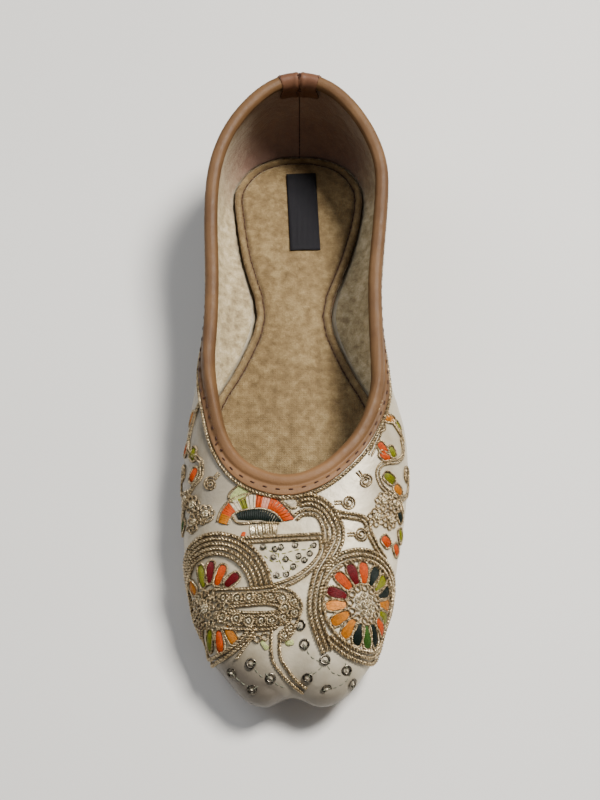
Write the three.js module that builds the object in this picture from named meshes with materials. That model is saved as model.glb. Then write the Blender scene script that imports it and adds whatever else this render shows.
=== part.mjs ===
// A mojari: a flat slip-on shoe with a satin upper, a rolled leather collar, a padded sock and a thin leather sole.
// Millimetres, +Z up. The toe points along -Y and the wearer's left hand is at +X: this is the left shoe of a pair.
// The upper is one swept wall: at each station round the shoe a profile climbs from the feather line on the sole,
// out to the girth line, then over to the collar's edge. Every other piece is worked out from those same lines.
import * as THREE from "three";
import { mergeVertices } from "three/addons/utils/BufferGeometryUtils.js";

// Driving sizes of the last.
const LENGTH = 254;
const BALL_WIDTH = 85;
const INSTEP = 41;

// Thicknesses and small sizes.
const GAP = 0.3;
const WALL = 2;
const SOLE_THICKNESS = 4;
const HEEL_RISE = 6;
const SOCK_THICKNESS = 4;
const SOCK_INSET = 0.4;
const EDGE_BEVEL = 0.5;
const LIFT_INSET = 0.6;
const TOE_SPRING = 5.5;
const PINCH_DEPTH = 3;
const PINCH_HALF_WIDTH = 5;
const PINCH_REACH = 0.16;
const BINDING_LEG = 6.5;
const BINDING_THICKNESS = 0.9;
const BINDING_ROLL = 0.3;
// The section of the roll over the edge, as shares of how far it stands off: its two shoulders and its crown.
const SHOULDER_UP = 0.85;
const SHOULDER_OUT = 0.3;
const CROWN_UP = 1.1;
const TAB_THICKNESS = 0.7;
const TAB_RINGS = 3;

// The sole's run from heel to toe, as places along Y.
const HEEL_BREAST = 60;
const SHANK_END = -14;
const SPRING_START = -68;
const TOE_END = -122;

// How the left shoe differs from a straight one: its inner ball joint lies further forward than its outer one,
// by this share of the distance from the middle. The skew starts behind the toe, is full at the ball and has
// gone by the middle of the shoe.
const BALL_SKEW = 0.15;
const SKEW_START = -LENGTH / 2.2;
const SKEW_FULL_FRONT = -LENGTH / 3.2;
const SKEW_FULL_BACK = -LENGTH / 8;

// One row for each station, from the middle of the toe round one side to the middle of the back.
// girth is the widest line round the shoe, feather is where the upper meets the sole, and collar is the top edge.
// Each holds an out, which is a share of half the ball width, an along, which is a share of the length, and an up,
// which is a share of the instep. straight is 0 where the wall above the girth is a full arch and 1 where it is
// flat. welt is how far the outsole reaches past the feather line and sway how far the station lies off the
// middle, both in millimetres.
const STATIONS = [
  {
    at: "toe notch", girth: [0, -0.491, 0.427], feather: [0, -0.477], collar: [0, -0.205, 1],
    straight: 0.25, welt: 1.5, sway: -0.3,
  },
  {
    at: "toe lobe", girth: [0.25, -0.509, 0.402], feather: [0.2, -0.476], collar: [0.129, -0.202, 1],
    straight: 0.25, welt: 1.5, sway: -0.3,
  },
  {
    at: "toe corner", girth: [0.588, -0.469, 0.415], feather: [0.525, -0.442], collar: [0.271, -0.192, 1],
    straight: 0.25, welt: 1.5, sway: -0.2,
  },
  {
    at: "toe side", girth: [0.782, -0.402, 0.427], feather: [0.699, -0.39], collar: [0.404, -0.176, 1],
    straight: 0.25, welt: 1.5, sway: -0.4,
  },
  {
    at: "vamp side", girth: [0.911, -0.315, 0.451], feather: [0.816, -0.311], collar: [0.532, -0.152, 1],
    straight: 0.25, welt: 1.5, sway: 0,
  },
  {
    at: "ball", girth: [0.995, -0.22, 0.488], feather: [0.892, -0.22], collar: [0.645, -0.114, 1.005],
    straight: 0.28, welt: 1.5, sway: 0.4,
  },
  {
    at: "ball back", girth: [1, -0.126, 0.525], feather: [0.878, -0.126], collar: [0.724, -0.063, 1.007],
    straight: 0.35, welt: 1.6, sway: 0.2,
  },
  {
    at: "flank", girth: [0.917, -0.035, 0.56], feather: [0.776, -0.026], collar: [0.77, -0.008, 1.01],
    straight: 0.5, welt: 2, sway: -0.7,
  },
  {
    at: "waist front", girth: [0.828, 0.051, 0.585], feather: [0.54, 0.049], collar: [0.77, 0.059, 1.02],
    straight: 0.6, welt: 4, sway: -0.6,
  },
  {
    at: "waist", girth: [0.812, 0.134, 0.61], feather: [0.367, 0.134], collar: [0.774, 0.134, 1.07],
    straight: 0.65, welt: 5.5, sway: -0.5,
  },
  {
    at: "heel breast", girth: [0.847, 0.236, 0.634], feather: [0.53, 0.236], collar: [0.816, 0.236, 1.2],
    straight: 0.7, welt: 2.5, sway: 0.3,
  },
  {
    at: "heel front", girth: [0.858, 0.315, 0.66], feather: [0.631, 0.319], collar: [0.806, 0.315, 1.3],
    straight: 0.7, welt: 1.6, sway: 1.3,
  },
  {
    at: "heel side", girth: [0.79, 0.39, 0.683], feather: [0.65, 0.382], collar: [0.668, 0.383, 1.37],
    straight: 0.7, welt: 1.5, sway: 1.4,
  },
  {
    at: "heel corner", girth: [0.555, 0.453, 0.695], feather: [0.47, 0.43], collar: [0.42, 0.441, 1.42],
    straight: 0.7, welt: 1.5, sway: 1.8,
  },
  {
    at: "tab edge", girth: [0.25, 0.485, 0.695], feather: [0.22, 0.45], collar: [0.2, 0.468, 1.437],
    straight: 0.7, welt: 1.5, sway: 1.8,
  },
  {
    at: "back", girth: [0, 0.493, 0.695], feather: [0, 0.453], collar: [0, 0.475, 1.44],
    straight: 0.7, welt: 1.5, sway: 1.8,
  },
];
const SAMPLES_PER_STATION = 3;
const HALF_ROUND = (STATIONS.length - 1) * SAMPLES_PER_STATION;
const ROUND = 2 * HALF_ROUND;
const TAB_SAMPLES = SAMPLES_PER_STATION;

// Rings of the wall, in order from the feather line to the collar's edge.
const LOWER_RINGS = 3;
const UPPER_RINGS = 6;
const UPPER_CROWDING = 1.3;
const PROFILE_STEPS = 24;
const SLAB_COLUMNS = 6;

const COLOURS = {
  satin: { color: 0xd9d0bb, roughness: 0.45, metalness: 0 },
  tan: { color: 0xa9734a, roughness: 0.5, metalness: 0 },
  tab: { color: 0x8f5a3a, roughness: 0.5, metalness: 0 },
  plush: { color: 0xb09a6c, roughness: 0.9, metalness: 0 },
  hide: { color: 0x8a5f3c, roughness: 0.7, metalness: 0 },
  stack: { color: 0x6f4a2e, roughness: 0.7, metalness: 0 },
};

const smooth = (low, high, x) => THREE.MathUtils.smoothstep(x, low, high);
const mix = THREE.MathUtils.lerp;

// Height of the sole's top face: level at the heel, down through the waist, level at the ball, up at the toe.
function soleTop(y) {
  const heel = HEEL_RISE * smooth(SHANK_END, HEEL_BREAST, y);
  const spring = Math.max(0, (SPRING_START - y) / (SPRING_START - TOE_END));
  return SOLE_THICKNESS + heel + TOE_SPRING * spring ** 2;
}

// How much of the left shoe's skew there is at a place along Y: all of it at the ball, none at the toe or waist.
const skewAt = (y) => BALL_SKEW * smooth(SKEW_START, SKEW_FULL_FRONT, y) * (1 - smooth(SKEW_FULL_BACK, 0, y));

// A closed curve round the shoe through one column of the table, the far side mirrored.
function lineRound(column) {
  const point = (row, side) => {
    const [out, along, up = 0] = row[column];
    const x = (side * out * BALL_WIDTH) / 2;
    const y = along * LENGTH;
    return new THREE.Vector3(x + row.sway, y + skewAt(y) * x, up * INSTEP);
  };
  const near = STATIONS.map((row) => point(row, 1));
  const far = STATIONS.slice(1, -1).map((row) => point(row, -1));
  return new THREE.CatmullRomCurve3([...near, ...far.reverse()], true, "centripetal");
}

const girthLine = lineRound("girth");
const featherLine = lineRound("feather");
const collarLine = lineRound("collar");

// The value of one column, such as straight, at a sample round the shoe.
function columnAt(sample, column) {
  const station = Math.min(sample, ROUND - sample) / SAMPLES_PER_STATION;
  const low = Math.min(Math.floor(station), STATIONS.length - 2);
  return mix(STATIONS[low][column], STATIONS[low + 1][column], station - low);
}

// The three points that a profile runs through.
function profileEnds(sample) {
  const t = sample / ROUND;
  const feather = featherLine.getPoint(t);
  feather.z = soleTop(feather.y) + GAP;
  return { feather, girth: girthLine.getPoint(t), collar: collarLine.getPoint(t) };
}

// Points from the feather line out to the girth line, on a quarter ellipse that leaves the sole flat.
function lowerProfile({ feather, girth }, steps) {
  return Array.from({ length: steps + 1 }, (_, i) => {
    const angle = ((i / steps) * Math.PI) / 2;
    const p = feather.clone().lerp(girth, Math.sin(angle));
    p.z = mix(feather.z, girth.z, 1 - Math.cos(angle));
    return p;
  });
}

// Points from the girth line over to the collar's edge, with the drawn-in pinch in the middle of the toe.
function upperProfile({ girth, collar }, straight, steps) {
  return Array.from({ length: steps + 1 }, (_, i) => {
    const angle = ((i / steps) * Math.PI) / 2;
    const share = 1 - Math.cos(angle);
    const p = girth.clone().lerp(collar, share);
    const rise = (1 - straight) * Math.sin(angle) + straight * share;
    const pinch = p.y < SPRING_START ? Math.exp(-((p.x / PINCH_HALF_WIDTH) ** 2)) : 0;
    const fade = Math.max(0, 1 - share / PINCH_REACH) * Math.sin(angle) * 2;
    p.z = mix(girth.z, collar.z, rise) - PINCH_DEPTH * pinch * fade;
    return p;
  });
}

// The point that lies a given distance along a run of points.
function pointAlong(run, distance) {
  let left = distance;
  for (let i = 1; i < run.length; i += 1) {
    const step = run[i].distanceTo(run[i - 1]);
    if (left <= step || i === run.length - 1) return run[i - 1].clone().lerp(run[i], left / step);
    left -= step;
  }
  return run.at(-1).clone();
}

const lengthOf = (run) => run.slice(1).reduce((sum, p, i) => sum + p.distanceTo(run[i]), 0);

// One profile as its rings: the feather line, up to the girth, then on to the collar's edge.
function wallProfile(sample) {
  const ends = profileEnds(sample);
  const lower = lowerProfile(ends, PROFILE_STEPS);
  const upper = upperProfile(ends, columnAt(sample, "straight"), PROFILE_STEPS);
  const lowerLength = lengthOf(lower);
  const upperLength = lengthOf(upper);
  const rings = [];
  for (let i = 0; i <= LOWER_RINGS; i += 1) rings.push(pointAlong(lower, (lowerLength * i) / LOWER_RINGS));
  for (let i = 1; i <= UPPER_RINGS; i += 1) {
    const share = (i / UPPER_RINGS) ** UPPER_CROWDING;
    rings.push(pointAlong(upper, (upperLength - BINDING_LEG) * share));
  }
  rings.push(pointAlong(upper, upperLength - BINDING_LEG / 2), upper.at(-1).clone());
  return rings;
}

const wall = Array.from({ length: ROUND }, (_, sample) => wallProfile(sample));
const EDGE_RING = wall[0].length - 1;

// The outward direction of the wall at a sample and ring. The feather line lies flat on the sole, so it faces down.
function outward(sample, ring) {
  if (ring === 0) return new THREE.Vector3(0, 0, -1);
  const next = wall[(sample + 1) % ROUND][ring];
  const last = wall[(sample + ROUND - 1) % ROUND][ring];
  const above = wall[sample][Math.min(ring + 1, EDGE_RING)];
  const below = wall[sample][Math.max(ring - 1, 0)];
  return next.clone().sub(last).cross(above.clone().sub(below)).normalize();
}

// A point of the wall moved outward, or inward where the distance is negative.
const offWall = (sample, ring, out) => wall[sample][ring].clone().addScaledVector(outward(sample, ring), out);

// A point beyond the collar's edge, so far up and so far out from it.
function overEdge(sample, up, out) {
  const edge = wall[sample][EDGE_RING];
  const climb = edge.clone().sub(wall[sample][EDGE_RING - 1]).normalize();
  return offWall(sample, EDGE_RING, out).addScaledVector(climb, up);
}

// A closed body between two skins. Each skin is a list of rows of points; a ring's last row joins its first.
function solidBetween(front, back, ring) {
  const positions = [];
  const triangle = (...points) => points.forEach((p) => positions.push(p.x, p.y, p.z));
  const quad = (a, b, c, d) => {
    triangle(a, b, c);
    triangle(a, c, d);
  };
  const rows = front.length;
  const columns = front[0].length;
  for (let i = 0; i < (ring ? rows : rows - 1); i += 1) {
    const j = (i + 1) % rows;
    for (let k = 0; k + 1 < columns; k += 1) {
      quad(front[i][k], front[j][k], front[j][k + 1], front[i][k + 1]);
      quad(back[i][k], back[i][k + 1], back[j][k + 1], back[j][k]);
    }
    const end = columns - 1;
    quad(front[i][0], back[i][0], back[j][0], front[j][0]);
    quad(front[i][end], front[j][end], back[j][end], back[i][end]);
  }
  if (!ring) {
    const end = rows - 1;
    for (let k = 0; k + 1 < columns; k += 1) {
      quad(front[0][k], front[0][k + 1], back[0][k + 1], back[0][k]);
      quad(front[end][k], back[end][k], back[end][k + 1], front[end][k + 1]);
    }
  }
  return closedGeometry(positions);
}

// Merges the points that meet, drops the triangles that shrink to a line at a tip, and turns the faces outward.
function closedGeometry(positions) {
  const raw = new THREE.BufferGeometry();
  raw.setAttribute("position", new THREE.Float32BufferAttribute(positions, 3));
  const merged = mergeVertices(raw, 1e-3);
  const place = merged.getAttribute("position");
  const kept = [];
  let volume = 0;
  for (let i = 0; i < merged.index.count; i += 3) {
    const [a, b, c] = [0, 1, 2].map((n) => merged.index.getX(i + n));
    if (a === b || b === c || c === a) continue;
    kept.push(a, b, c);
    const [p, q, r] = [a, b, c].map((n) => new THREE.Vector3().fromBufferAttribute(place, n));
    volume += p.dot(q.cross(r));
  }
  merged.setIndex(volume < 0 ? kept.reverse() : kept);
  merged.computeVertexNormals();
  return merged;
}

// The upper: one hollow wall, open at the throat and underneath, with the satin outside and the plush inside.
function upperGeometry() {
  const outside = wall.map((profile, sample) => profile.map((_, ring) => offWall(sample, ring, 0)));
  const inside = wall.map((profile, sample) => profile.map((_, ring) => offWall(sample, ring, -WALL)));
  return solidBetween(outside, inside, true);
}

// One section of a strip folded over the collar's edge, standing off the wall by `start`, with `roll` added over
// the edge. Its outer leg ends at the ring `outer.end` and its inner leg at `inner.end`. Beyond the ring
// `covers`, where what it covers has ended, a leg lies on the wall itself.
function foldedStrip(sample, { start, thickness, roll, outer, inner }) {
  const leg = ({ end, covers }, side, extra) => {
    const points = [];
    for (let ring = end; ring < EDGE_RING; ring += 1) {
      const clear = ring < covers ? GAP : start;
      points.push(offWall(sample, ring, side > 0 ? clear + extra : -WALL - clear - extra));
    }
    return points;
  };
  const skin = (legExtra, out) => [
    ...leg(outer, 1, legExtra),
    overEdge(sample, 0, out),
    overEdge(sample, out * SHOULDER_UP, out * SHOULDER_OUT),
    overEdge(sample, out * CROWN_UP, -WALL / 2),
    overEdge(sample, out * SHOULDER_UP, -WALL - out * SHOULDER_OUT),
    overEdge(sample, 0, -WALL - out),
    ...leg(inner, -1, legExtra).reverse(),
  ];
  return { front: skin(thickness, start + thickness + roll), back: skin(0, start) };
}

const BINDING = {
  start: GAP,
  thickness: BINDING_THICKNESS,
  roll: BINDING_ROLL,
  outer: { end: EDGE_RING - 2, covers: 0 },
  inner: { end: EDGE_RING - 1, covers: 0 },
};
const TAB = {
  start: GAP + BINDING_THICKNESS + BINDING_ROLL + GAP,
  thickness: TAB_THICKNESS,
  roll: 0,
  outer: { end: EDGE_RING - TAB_RINGS, covers: BINDING.outer.end },
  inner: { end: EDGE_RING - TAB_RINGS, covers: BINDING.inner.end },
};

// The binding: a leather strip folded over the whole collar.
function bindingGeometry() {
  const sections = wall.map((_, sample) => foldedStrip(sample, BINDING));
  return solidBetween(sections.map((s) => s.front), sections.map((s) => s.back), true);
}

// The tab: a short strip that covers the binding's joint at the back.
function tabGeometry() {
  const sections = [];
  for (let sample = HALF_ROUND - TAB_SAMPLES; sample <= HALF_ROUND + TAB_SAMPLES; sample += 1) {
    sections.push(foldedStrip(sample, TAB));
  }
  return solidBetween(sections.map((s) => s.front), sections.map((s) => s.back), false);
}

// A point of the feather line moved outward in plan.
function featherPoint(sample, out) {
  const t = (((sample % ROUND) + ROUND) % ROUND) / ROUND;
  const p = featherLine.getPoint(t);
  const along = featherLine.getTangent(t);
  const away = new THREE.Vector2(along.y, -along.x).normalize();
  return new THREE.Vector2(p.x, p.y).addScaledVector(away, out);
}

// A slab under the shoe, from one sample to the back. Its sides lie so far out from the feather line, and its
// heights are functions of y.
function slab({ from = 0, topOut, bottomOut, top, bottom }) {
  const skin = (outAt, height) => {
    const rows = [];
    for (let sample = from; sample <= HALF_ROUND; sample += 1) {
      const left = featherPoint(sample, outAt(sample));
      const right = featherPoint(-sample, outAt(sample));
      const row = [];
      for (let k = 0; k <= SLAB_COLUMNS; k += 1) {
        const p = left.clone().lerp(right, k / SLAB_COLUMNS);
        row.push(new THREE.Vector3(p.x, p.y, height(p.y)));
      }
      rows.push(row);
    }
    return rows;
  };
  return solidBetween(skin(topOut, top), skin(bottomOut, bottom), false);
}

const weltAt = (sample) => columnAt(sample, "welt");

// The outsole: one sheet of hide, flat under the ball, lifted through the waist and sprung at the toe.
function outsoleGeometry() {
  return slab({
    topOut: weltAt,
    bottomOut: (sample) => weltAt(sample) - EDGE_BEVEL,
    top: soleTop,
    bottom: (y) => soleTop(y) - SOLE_THICKNESS,
  });
}

// The heel lift: a low block of stacked hide under the back of the outsole.
function heelLiftGeometry() {
  return slab({
    from: STATIONS.findIndex((row) => row.at === "heel breast") * SAMPLES_PER_STATION,
    topOut: (sample) => weltAt(sample) - LIFT_INSET,
    bottomOut: (sample) => weltAt(sample) - LIFT_INSET - EDGE_BEVEL,
    top: (y) => soleTop(y) - SOLE_THICKNESS - GAP,
    bottom: () => 0,
  });
}

// The sock: the padded insole that lies on the outsole inside the upper's lower edge.
function sockGeometry() {
  return slab({
    topOut: () => -SOCK_INSET,
    bottomOut: () => -SOCK_INSET,
    top: (y) => soleTop(y) + GAP + SOCK_THICKNESS,
    bottom: (y) => soleTop(y) + GAP,
  });
}

function piece(name, geometry, colours) {
  const mesh = new THREE.Mesh(geometry, new THREE.MeshStandardMaterial(colours));
  mesh.name = name;
  return mesh;
}

const mojari = new THREE.Group();
mojari.add(
  piece("outsole", outsoleGeometry(), COLOURS.hide),
  piece("heel_lift", heelLiftGeometry(), COLOURS.stack),
  piece("upper", upperGeometry(), COLOURS.satin),
  piece("sock", sockGeometry(), COLOURS.plush),
  piece("collar_binding", bindingGeometry(), COLOURS.tan),
  piece("heel_tab", tabGeometry(), COLOURS.tab),
);

// The origin is on the floor, under the middle of the whole shoe.
const middle = new THREE.Box3().setFromObject(mojari).getCenter(new THREE.Vector3());
mojari.position.set(-middle.x, -middle.y, 0);

export default mojari;
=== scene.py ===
# %% [markdown]
# # A mojari, from bare solids to satin, plush and metal thread
# The shoe's solids come ready made and sized: a hollow upper, an outsole, a heel lift, a padded sock, a
# folded leather binding and a small tab at the back. Each cell below takes one of them, or one layer of
# needlework, and gives it the surface of the real thing. The toe points along -Y, +Z is up and Blender
# works in metres.

# %% Load the frame
import math
from contextlib import contextmanager
from functools import lru_cache

import bmesh
import bpy
from mathutils import Matrix, Vector, noise
from mathutils.bvhtree import BVHTree
from mathutils.kdtree import KDTree


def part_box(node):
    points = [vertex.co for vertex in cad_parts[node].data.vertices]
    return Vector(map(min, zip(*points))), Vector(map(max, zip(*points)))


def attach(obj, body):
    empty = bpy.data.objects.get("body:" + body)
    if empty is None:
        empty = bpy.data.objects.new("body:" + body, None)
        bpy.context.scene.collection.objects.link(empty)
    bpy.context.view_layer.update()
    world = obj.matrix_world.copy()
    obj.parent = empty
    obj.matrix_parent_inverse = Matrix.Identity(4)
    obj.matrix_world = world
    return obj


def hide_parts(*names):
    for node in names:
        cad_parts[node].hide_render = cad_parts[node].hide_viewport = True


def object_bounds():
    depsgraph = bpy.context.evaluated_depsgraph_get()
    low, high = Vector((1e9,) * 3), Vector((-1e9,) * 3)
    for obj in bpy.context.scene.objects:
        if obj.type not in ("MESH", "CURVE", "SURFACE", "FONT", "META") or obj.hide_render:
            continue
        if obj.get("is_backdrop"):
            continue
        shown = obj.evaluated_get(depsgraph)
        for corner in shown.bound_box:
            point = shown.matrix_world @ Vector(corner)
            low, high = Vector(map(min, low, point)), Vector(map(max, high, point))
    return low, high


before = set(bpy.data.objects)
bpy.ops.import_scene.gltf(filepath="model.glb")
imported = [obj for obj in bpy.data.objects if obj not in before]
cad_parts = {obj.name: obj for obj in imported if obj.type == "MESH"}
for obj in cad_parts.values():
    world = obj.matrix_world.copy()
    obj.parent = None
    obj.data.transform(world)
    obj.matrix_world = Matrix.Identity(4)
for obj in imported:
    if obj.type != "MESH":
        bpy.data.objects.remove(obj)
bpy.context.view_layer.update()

MM = 0.001
print("nodes:", ", ".join(sorted(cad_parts)))

# %% [markdown]
# ## The camera
# The shoe is seen from above its toe, at about 62 degrees. A target point and a distance say this more
# plainly than rotations do: `to_track_quat` then turns the camera so that it looks at the target.

# %% Camera
CAMERA_PLACE = Vector((1.66, -240.8, 468.4)) * MM
CAMERA_TARGET = Vector((1.66, -9.7, 25.0)) * MM
LENS = 57.97
SENSOR = 36

camera_data = bpy.data.cameras.new("camera")
camera_data.lens = LENS
camera_data.sensor_width = SENSOR
camera = bpy.data.objects.new("camera", camera_data)
camera.location = CAMERA_PLACE
camera.rotation_euler = (CAMERA_TARGET - CAMERA_PLACE).to_track_quat("-Z", "Y").to_euler()
bpy.context.scene.collection.objects.link(camera)
bpy.context.scene.camera = camera
print("camera is", round((CAMERA_TARGET - CAMERA_PLACE).length / MM), "mm from the shoe")

# %% [markdown]
# ## Light
# Metal thread and satin need something large to reflect, or they turn black. So the key is an area light a
# little longer than the shoe, high behind the wearer's left. A wider and weaker one fills the other side, a
# third one opens up the front, and a pale world lifts the shadows.

# %% Light
def area_light(name, place, size, power, tint):
    data = bpy.data.lights.new(name, "AREA")
    data.size = size
    data.energy = power
    data.color = tint
    light = bpy.data.objects.new(name, data)
    light.location = place
    light.rotation_euler = (-Vector(place)).to_track_quat("-Z", "Y").to_euler()
    bpy.context.scene.collection.objects.link(light)
    return light


area_light("key", (0.46, 0.24, 0.98), 0.3, 26, (1.0, 0.96, 0.9))
area_light("fill", (-0.66, 0.3, 0.9), 0.8, 5, (0.94, 0.96, 1.0))
area_light("front", (0.45, -0.9, 0.7), 0.7, 1.0, (1.0, 0.98, 0.95))

world = bpy.data.worlds.new("studio")
world.use_nodes = True
sky = world.node_tree.nodes["Background"].inputs
sky["Color"].default_value = (0.85, 0.87, 0.9, 1)
sky["Strength"].default_value = 0.13
bpy.context.scene.world = world
print("3 area lights and a pale world")

# %% [markdown]
# ## Making and finishing a piece
# Every piece goes the same way. One helper makes its object, one applies its modifiers, and one gives it
# its finish, hangs it under one empty and hides the solids that it replaces. Modifiers are applied at once,
# so that later steps can work on the real vertices.

# %% Objects
def new_object(name, source):
    """A new object that holds a bmesh, which is freed, or a data block."""
    if isinstance(source, bmesh.types.BMesh):
        mesh = bpy.data.meshes.new(name)
        source.to_mesh(mesh)
        source.free()
        source = mesh
    piece = bpy.data.objects.new(name, source)
    bpy.context.scene.collection.objects.link(piece)
    return piece


def settle(piece):
    """Turns a piece and its modifiers, or a curve, into a plain mesh."""
    graph = bpy.context.evaluated_depsgraph_get()
    mesh = bpy.data.meshes.new_from_object(piece.evaluated_get(graph), depsgraph=graph)
    name = piece.name
    bpy.data.objects.remove(piece)
    mesh.name = name
    return new_object(name, mesh)


def subdivide(piece, levels):
    finer = piece.modifiers.new("finer", "SUBSURF")
    finer.levels = levels
    finer.render_levels = levels
    return settle(piece)


def hand_over(piece, materials, stands_for=()):
    """Gives a finished piece its materials and its place in the frame."""
    if not isinstance(materials, (list, tuple)):
        materials = [materials]
    kept = [polygon.material_index for polygon in piece.data.polygons]
    piece.data.materials.clear()
    for material in materials:
        piece.data.materials.append(material)
    piece.data.polygons.foreach_set("material_index", kept)
    piece.data.polygons.foreach_set("use_smooth", [True] * len(kept))
    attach(piece, "root")
    if stands_for:
        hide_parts(*stands_for)
    piece.data.calc_loop_triangles()
    print(f"{piece.name}: {len(piece.data.loop_triangles)} triangles")
    return piece


# %% [markdown]
# ## Copies of the solids
# The solids arrive as loose triangles and are never changed. So a copy is merged, and its triangles are
# joined to quads, which subdivide far more evenly. A search tree of a surface answers two questions later
# on: where a ray hits it, and which of its points is nearest.

# %% Copies and search trees
MERGE_WITHIN = 0.001


def clean_copy(node):
    """A merged copy of a solid, in quads where its triangles pair up."""
    bm = bmesh.new()
    bm.from_mesh(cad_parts[node].data)
    bmesh.ops.remove_doubles(bm, verts=bm.verts, dist=MERGE_WITHIN * MM)
    bmesh.ops.join_triangles(
        bm,
        faces=bm.faces,
        angle_face_threshold=math.radians(60),
        angle_shape_threshold=math.radians(180),
    )
    return bm


@contextmanager
def edited(piece):
    """Opens a piece's mesh as a bmesh, and writes it back at the end."""
    bm = bmesh.new()
    bm.from_mesh(piece.data)
    yield bm
    bm.to_mesh(piece.data)
    bm.free()
    piece.data.update()


def surface_of(piece):
    return BVHTree.FromObject(piece, bpy.context.evaluated_depsgraph_get())


upper_bm = clean_copy("upper")
print("the upper's copy has", len(upper_bm.verts), "vertices and", len(upper_bm.faces), "faces")

# %% [markdown]
# ## Lines of the shoe
# A seam follows an edge of the shoe, and those edges are already in the solids: they are the closed runs
# where the faces turn sharply. Walking such a run, straight on at a fork, gives an ordered line. Every seam
# and border is laid from one.

# %% Sharp lines
SHARP_ANGLE = 50


def sharp_edges(bm):
    sharp = math.radians(SHARP_ANGLE)
    return [edge for edge in bm.edges if len(edge.link_faces) == 2 and edge.calc_face_angle() > sharp]


def line_length(line):
    return sum((b - a).length for a, b in zip(line, line[1:]))


def sharp_lines(bm):
    """The closed runs of sharp edges, each an ordered list of points, longest first."""
    bm.edges.index_update()
    left = {edge.index: edge for edge in sharp_edges(bm)}

    def at_a_fork(edge):
        return any(sum(other.index in left for other in vert.link_edges) > 2 for vert in edge.verts)

    lines = []
    while left:
        edge = min(left.values(), key=lambda e: (at_a_fork(e), e.index))
        first, here = edge.verts
        line = [first.co.copy(), here.co.copy()]
        del left[edge.index]
        while here != first:
            heading = (line[-1] - line[-2]).normalized()
            onward = [e for e in here.link_edges if e.index in left]
            if not onward:
                break
            edge = max(onward, key=lambda e: heading.dot((e.other_vert(here).co - here.co).normalized()))
            del left[edge.index]
            here = edge.other_vert(here)
            line.append(here.co.copy())
        lines.append(line)
    return sorted(lines, key=line_length, reverse=True)


upper_lines = sharp_lines(upper_bm)
upper_bm.free()
print("the upper's sharp lines:", [round(line_length(line) / MM) for line in upper_lines], "mm")

# %% [markdown]
# The collar line is the middle of the wall's two upper edges. The two edges are not matched point by point,
# so each point of the outer one is averaged with the nearest point of the inner one. A tree of points finds
# it quickly.

# %% The collar line
LINE_STEP = 0.5
COLLAR_ABOVE = 38


def tree_of(points):
    tree = KDTree(len(points))
    for index, point in enumerate(points):
        tree.insert(point, index)
    tree.balance()
    return tree


def evenly(line, step):
    """Points a step apart along a line."""
    made = [line[0].copy()]
    owed = step
    for a, b in zip(line, line[1:]):
        gap = (b - a).length
        reached = 0.0
        while gap - reached >= owed > 0:
            reached += owed
            made.append(a.lerp(b, reached / gap))
            owed = step
        owed -= gap - reached
    return made


rims = [line for line in upper_lines if min(p.z for p in line) > COLLAR_ABOVE * MM]
outer_rim, inner_rim = rims[:2]
inner_tree = tree_of(evenly(inner_rim, LINE_STEP * MM))
rim = [(p + inner_tree.find(p)[0]) / 2 for p in evenly(outer_rim, LINE_STEP * MM)]
rim_tree = tree_of(rim)
print("collar line:", round(line_length(rim) / MM), "mm round")

# %% [markdown]
# ## Materials: a short way to write nodes
# Each finish is a Principled shader with a few textures on Object coordinates, so the pattern stays on the
# shoe in every view. A number that is the same all over is set on the shader itself, and only what varies
# gets nodes.

# %% Materials and nodes
def tone(red, green, blue):
    """A colour given as the 0 to 255 numbers of a paint chart, in the linear light that shaders use."""
    return (*(((c / 255 + 0.055) / 1.055) ** 2.4 for c in (red, green, blue)), 1.0)


def finish_named(name, **values):
    material = bpy.data.materials.new(name)
    material.use_nodes = True
    shader = material.node_tree.nodes["Principled BSDF"]
    for socket, value in values.items():
        shader.inputs[socket.replace("_", " ")].default_value = value
    return material


def add_node(material, kind, inputs, **settings):
    """Adds a node. An input that is a socket is linked, and any other is set."""
    made = material.node_tree.nodes.new("ShaderNode" + kind)
    for setting, value in settings.items():
        setattr(made, setting, value)
    for socket, value in inputs.items():
        if isinstance(value, bpy.types.NodeSocket):
            material.node_tree.links.new(value, made.inputs[socket])
        else:
            made.inputs[socket].default_value = value
    return made


def plug(material, socket, value):
    shader = material.node_tree.nodes["Principled BSDF"]
    material.node_tree.links.new(value, shader.inputs[socket])


print("half-way grey is", round(tone(128, 128, 128)[0], 3), "in linear light")

# %% [markdown]
# The textures are all made from a few parts. Soft noise gives clouds, stains and grain, a ramp turns it to
# colours, and two colours are blended or multiplied. Arithmetic on numbers and a stack of bumps do the
# rest.

# %% Textures
def object_place(material, stretch=(1, 1, 1)):
    """Object coordinates in millimetres, stretched if asked."""
    place = add_node(material, "TexCoord", {}).outputs["Object"]
    scale = [1000 * s for s in stretch]
    return add_node(material, "Mapping", {"Vector": place, "Scale": scale}).outputs["Vector"]


def cloudy(material, place, size, detail=3.0, roughness=0.55):
    """Soft noise whose lumps are about `size` millimetres across."""
    inputs = {"Vector": place, "Scale": 1 / size, "Detail": detail, "Roughness": roughness}
    return add_node(material, "TexNoise", inputs).outputs["Fac"]


def ramp(material, factor, *stops):
    """A colour ramp. Each stop is a place from 0 to 1 and a colour."""
    made = add_node(material, "ValToRGB", {"Fac": factor})
    elements = made.color_ramp.elements
    while len(elements) < len(stops):
        elements.new(0.5)
    for element, (place, colour) in zip(elements, stops):
        element.position = place
        element.color = colour
    return made.outputs["Color"]


def axes_of(material, place):
    return add_node(material, "SeparateXYZ", {0: place}).outputs


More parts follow.
